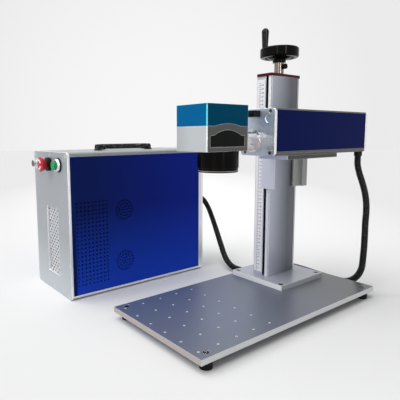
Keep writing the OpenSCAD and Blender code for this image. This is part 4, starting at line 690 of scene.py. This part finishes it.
# Key switch
# A turned and chromed brass body, screwed into the front plate, and its barrel with a dark face
# and the key slot.
def turned(name, profile_mm, centre, sides=64, round_mm=0.5, start=0, turn=360, ring=False):
    """Turned piece: a profile of (radius, height) spun about the line that runs from the centre
    towards the front, with its sharp corners rounded. A ring's profile is closed."""
    sharp_deg = 40
    merge_mm = 0.01
    bm = bmesh.new()
    verts = [bm.verts.new((r * MM, 0, h * MM)) for r, h in profile_mm]
    edges = [bm.edges.new(pair) for pair in zip(verts, verts[1:])]
    if ring:
        edges.append(bm.edges.new((verts[-1], verts[0])))
    bmesh.ops.rotate(bm, verts=verts, matrix=Matrix.Rotation(math.radians(start), 3, "Z"))
    full = turn == 360
    spun = bmesh.ops.spin(bm, geom=verts + edges, axis=(0, 0, 1), angle=math.radians(turn),
                          steps=sides, use_merge=full)
    if not full:
        bmesh.ops.contextual_create(bm, geom=edges)
        bmesh.ops.contextual_create(bm, geom=[g for g in spun["geom_last"]
                                              if isinstance(g, bmesh.types.BMEdge)])
    bmesh.ops.remove_doubles(bm, verts=bm.verts[:], dist=merge_mm * MM)
    bmesh.ops.recalc_face_normals(bm, faces=bm.faces[:])
    sharp = [e for e in bm.edges if len(e.link_faces) == 2
             and e.calc_face_angle(0) > math.radians(sharp_deg)]
    if round_mm:
        bmesh.ops.bevel(bm, geom=sharp, offset=round_mm * MM, offset_type="OFFSET", segments=3,
                        profile=0.5, affect="EDGES", material=-1)
    bmesh.ops.transform(bm, verts=bm.verts[:],
                        matrix=Matrix.Translation(centre) @ Matrix.Rotation(math.pi / 2, 4, "X"))
    return piece(name, bm)


chrome = finish("chrome_plate", (222, 223, 226), (230, 230, 232), metal=1, gloss=0.1, grain_mm=0.6,
                relief_mm=0.003)
wear(chrome, "key_switch_body")
key_face = finish("key_face", (226, 226, 229), (236, 236, 238), metal=0.5, gloss=0.2, grain_mm=0.5,
                  relief_mm=0.004, patch_mm=8, face_tones_and_light=[("Y", *square, (70, 70, 74), 0.9)])
wear(key_face, "key_switch_dial")

# Emergency stop
# A moulded red mushroom head with a gripping rim on a black collar. Three white arcs, raised a
# little from its face, show which way it turns.
wear(moulded_black, "estop_base")
stop_red = finish("stop_red", (200, 40, 60), (188, 32, 50), metal=0, gloss=0.3, grain_mm=0.8,
                  relief_mm=0.01, painted_edge_light=(222, 84, 98), edge_mm=1, shine=0.3)
wear(stop_red, "estop_button")
stop_low, stop_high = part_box("estop_button")
stop_axis = Vector(((stop_low[0] + stop_high[0]) / 2, 0, (stop_low[2] + stop_high[2]) / 2))
arrow_white = finish("arrow_white", (236, 232, 232), (242, 240, 240), metal=0, gloss=0.4,
                     grain_mm=0.6, relief_mm=0.003)
arrow_depth = 2.2 * MM
arrow_count = 3
arrow_start_deg, arrow_sweep_deg = 20, 80
arrow_profile_mm = [(9.5, 0), (13.5, 0), (13.5, 1.7), (9.5, 2)]
for number in range(arrow_count):
    arrow = turned("stop_arrow_%d" % (number + 1), arrow_profile_mm,
                   stop_axis + Vector((0, stop_low[1] + arrow_depth, 0)), sides=14, round_mm=0,
                   start=arrow_start_deg + 360 / arrow_count * number, turn=arrow_sweep_deg,
                   ring=True)
    dress(arrow, "estop", arrow_white)

# Start button
# A moulded green push button with a dished top, in a turned and chromed bezel that is screwed
# down on a black sealing ring.
bezel_low, bezel_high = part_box("start_bezel")
start_axis = Vector(((bezel_low[0] + bezel_high[0]) / 2, 0, (bezel_low[2] + bezel_high[2]) / 2))
bezel_profile_mm = [(0, 0), (11, 0), (11, 34), (16.8, 34), (17, 39), (15, 43.6), (12.5, 44),
                    (12.3, 43), (12.3, 34.5), (0, 34.5)]
seal_profile_mm = [(17.2, 0), (18.4, 0), (18.4, 3.4), (17.2, 3.4)]
cap_profile_mm = [(0, 0), (11.8, 0), (11.8, 11.4), (11, 12.6), (9.4, 11.9), (0, 11.2)]
cap_seat = 4.5 * MM
bezel = turned("start_chrome_bezel", bezel_profile_mm, start_axis + Vector((0, bezel_high[1], 0)),
               round_mm=0.4)
dress(bezel, "root", chrome)
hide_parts("start_bezel")
wear(chrome, "start_bezel")
front_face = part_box("cabinet_front_plate")[0][1]
seal = turned("start_seal", seal_profile_mm, start_axis + Vector((0, front_face, 0)),
              round_mm=0.3, ring=True)
dress(seal, "root", moulded_rubber)
start_green = finish("start_green", (10, 148, 86), (14, 158, 94), metal=0, gloss=0.3, grain_mm=0.8,
                     relief_mm=0.01, painted_edge_light=(60, 186, 128), edge_mm=0.8, shine=0.3)
cap = turned("start_cap", cap_profile_mm, start_axis + Vector((0, front_face - cap_seat, 0)),
             round_mm=0.4)
dress(cap, "start", start_green)
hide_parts("start_button")
wear(start_green, "start_button")

# Carry handle
# A black painted steel bail with bent corners, folding between two riveted ears on the cabinet.
# Pale flecks on the bail are painted glints.
handle_paint = finish("handle_enamel", (14, 14, 15), (22, 22, 23), metal=0.1, gloss=0.2, grain_mm=3,
                      relief_mm=0.03, painted_edge_light=(90, 90, 92), edge_mm=0.8, shine=0.3,
                      painted_glints=(150, 151, 152))
wear(handle_paint, "carry_handle", "handle_ears")
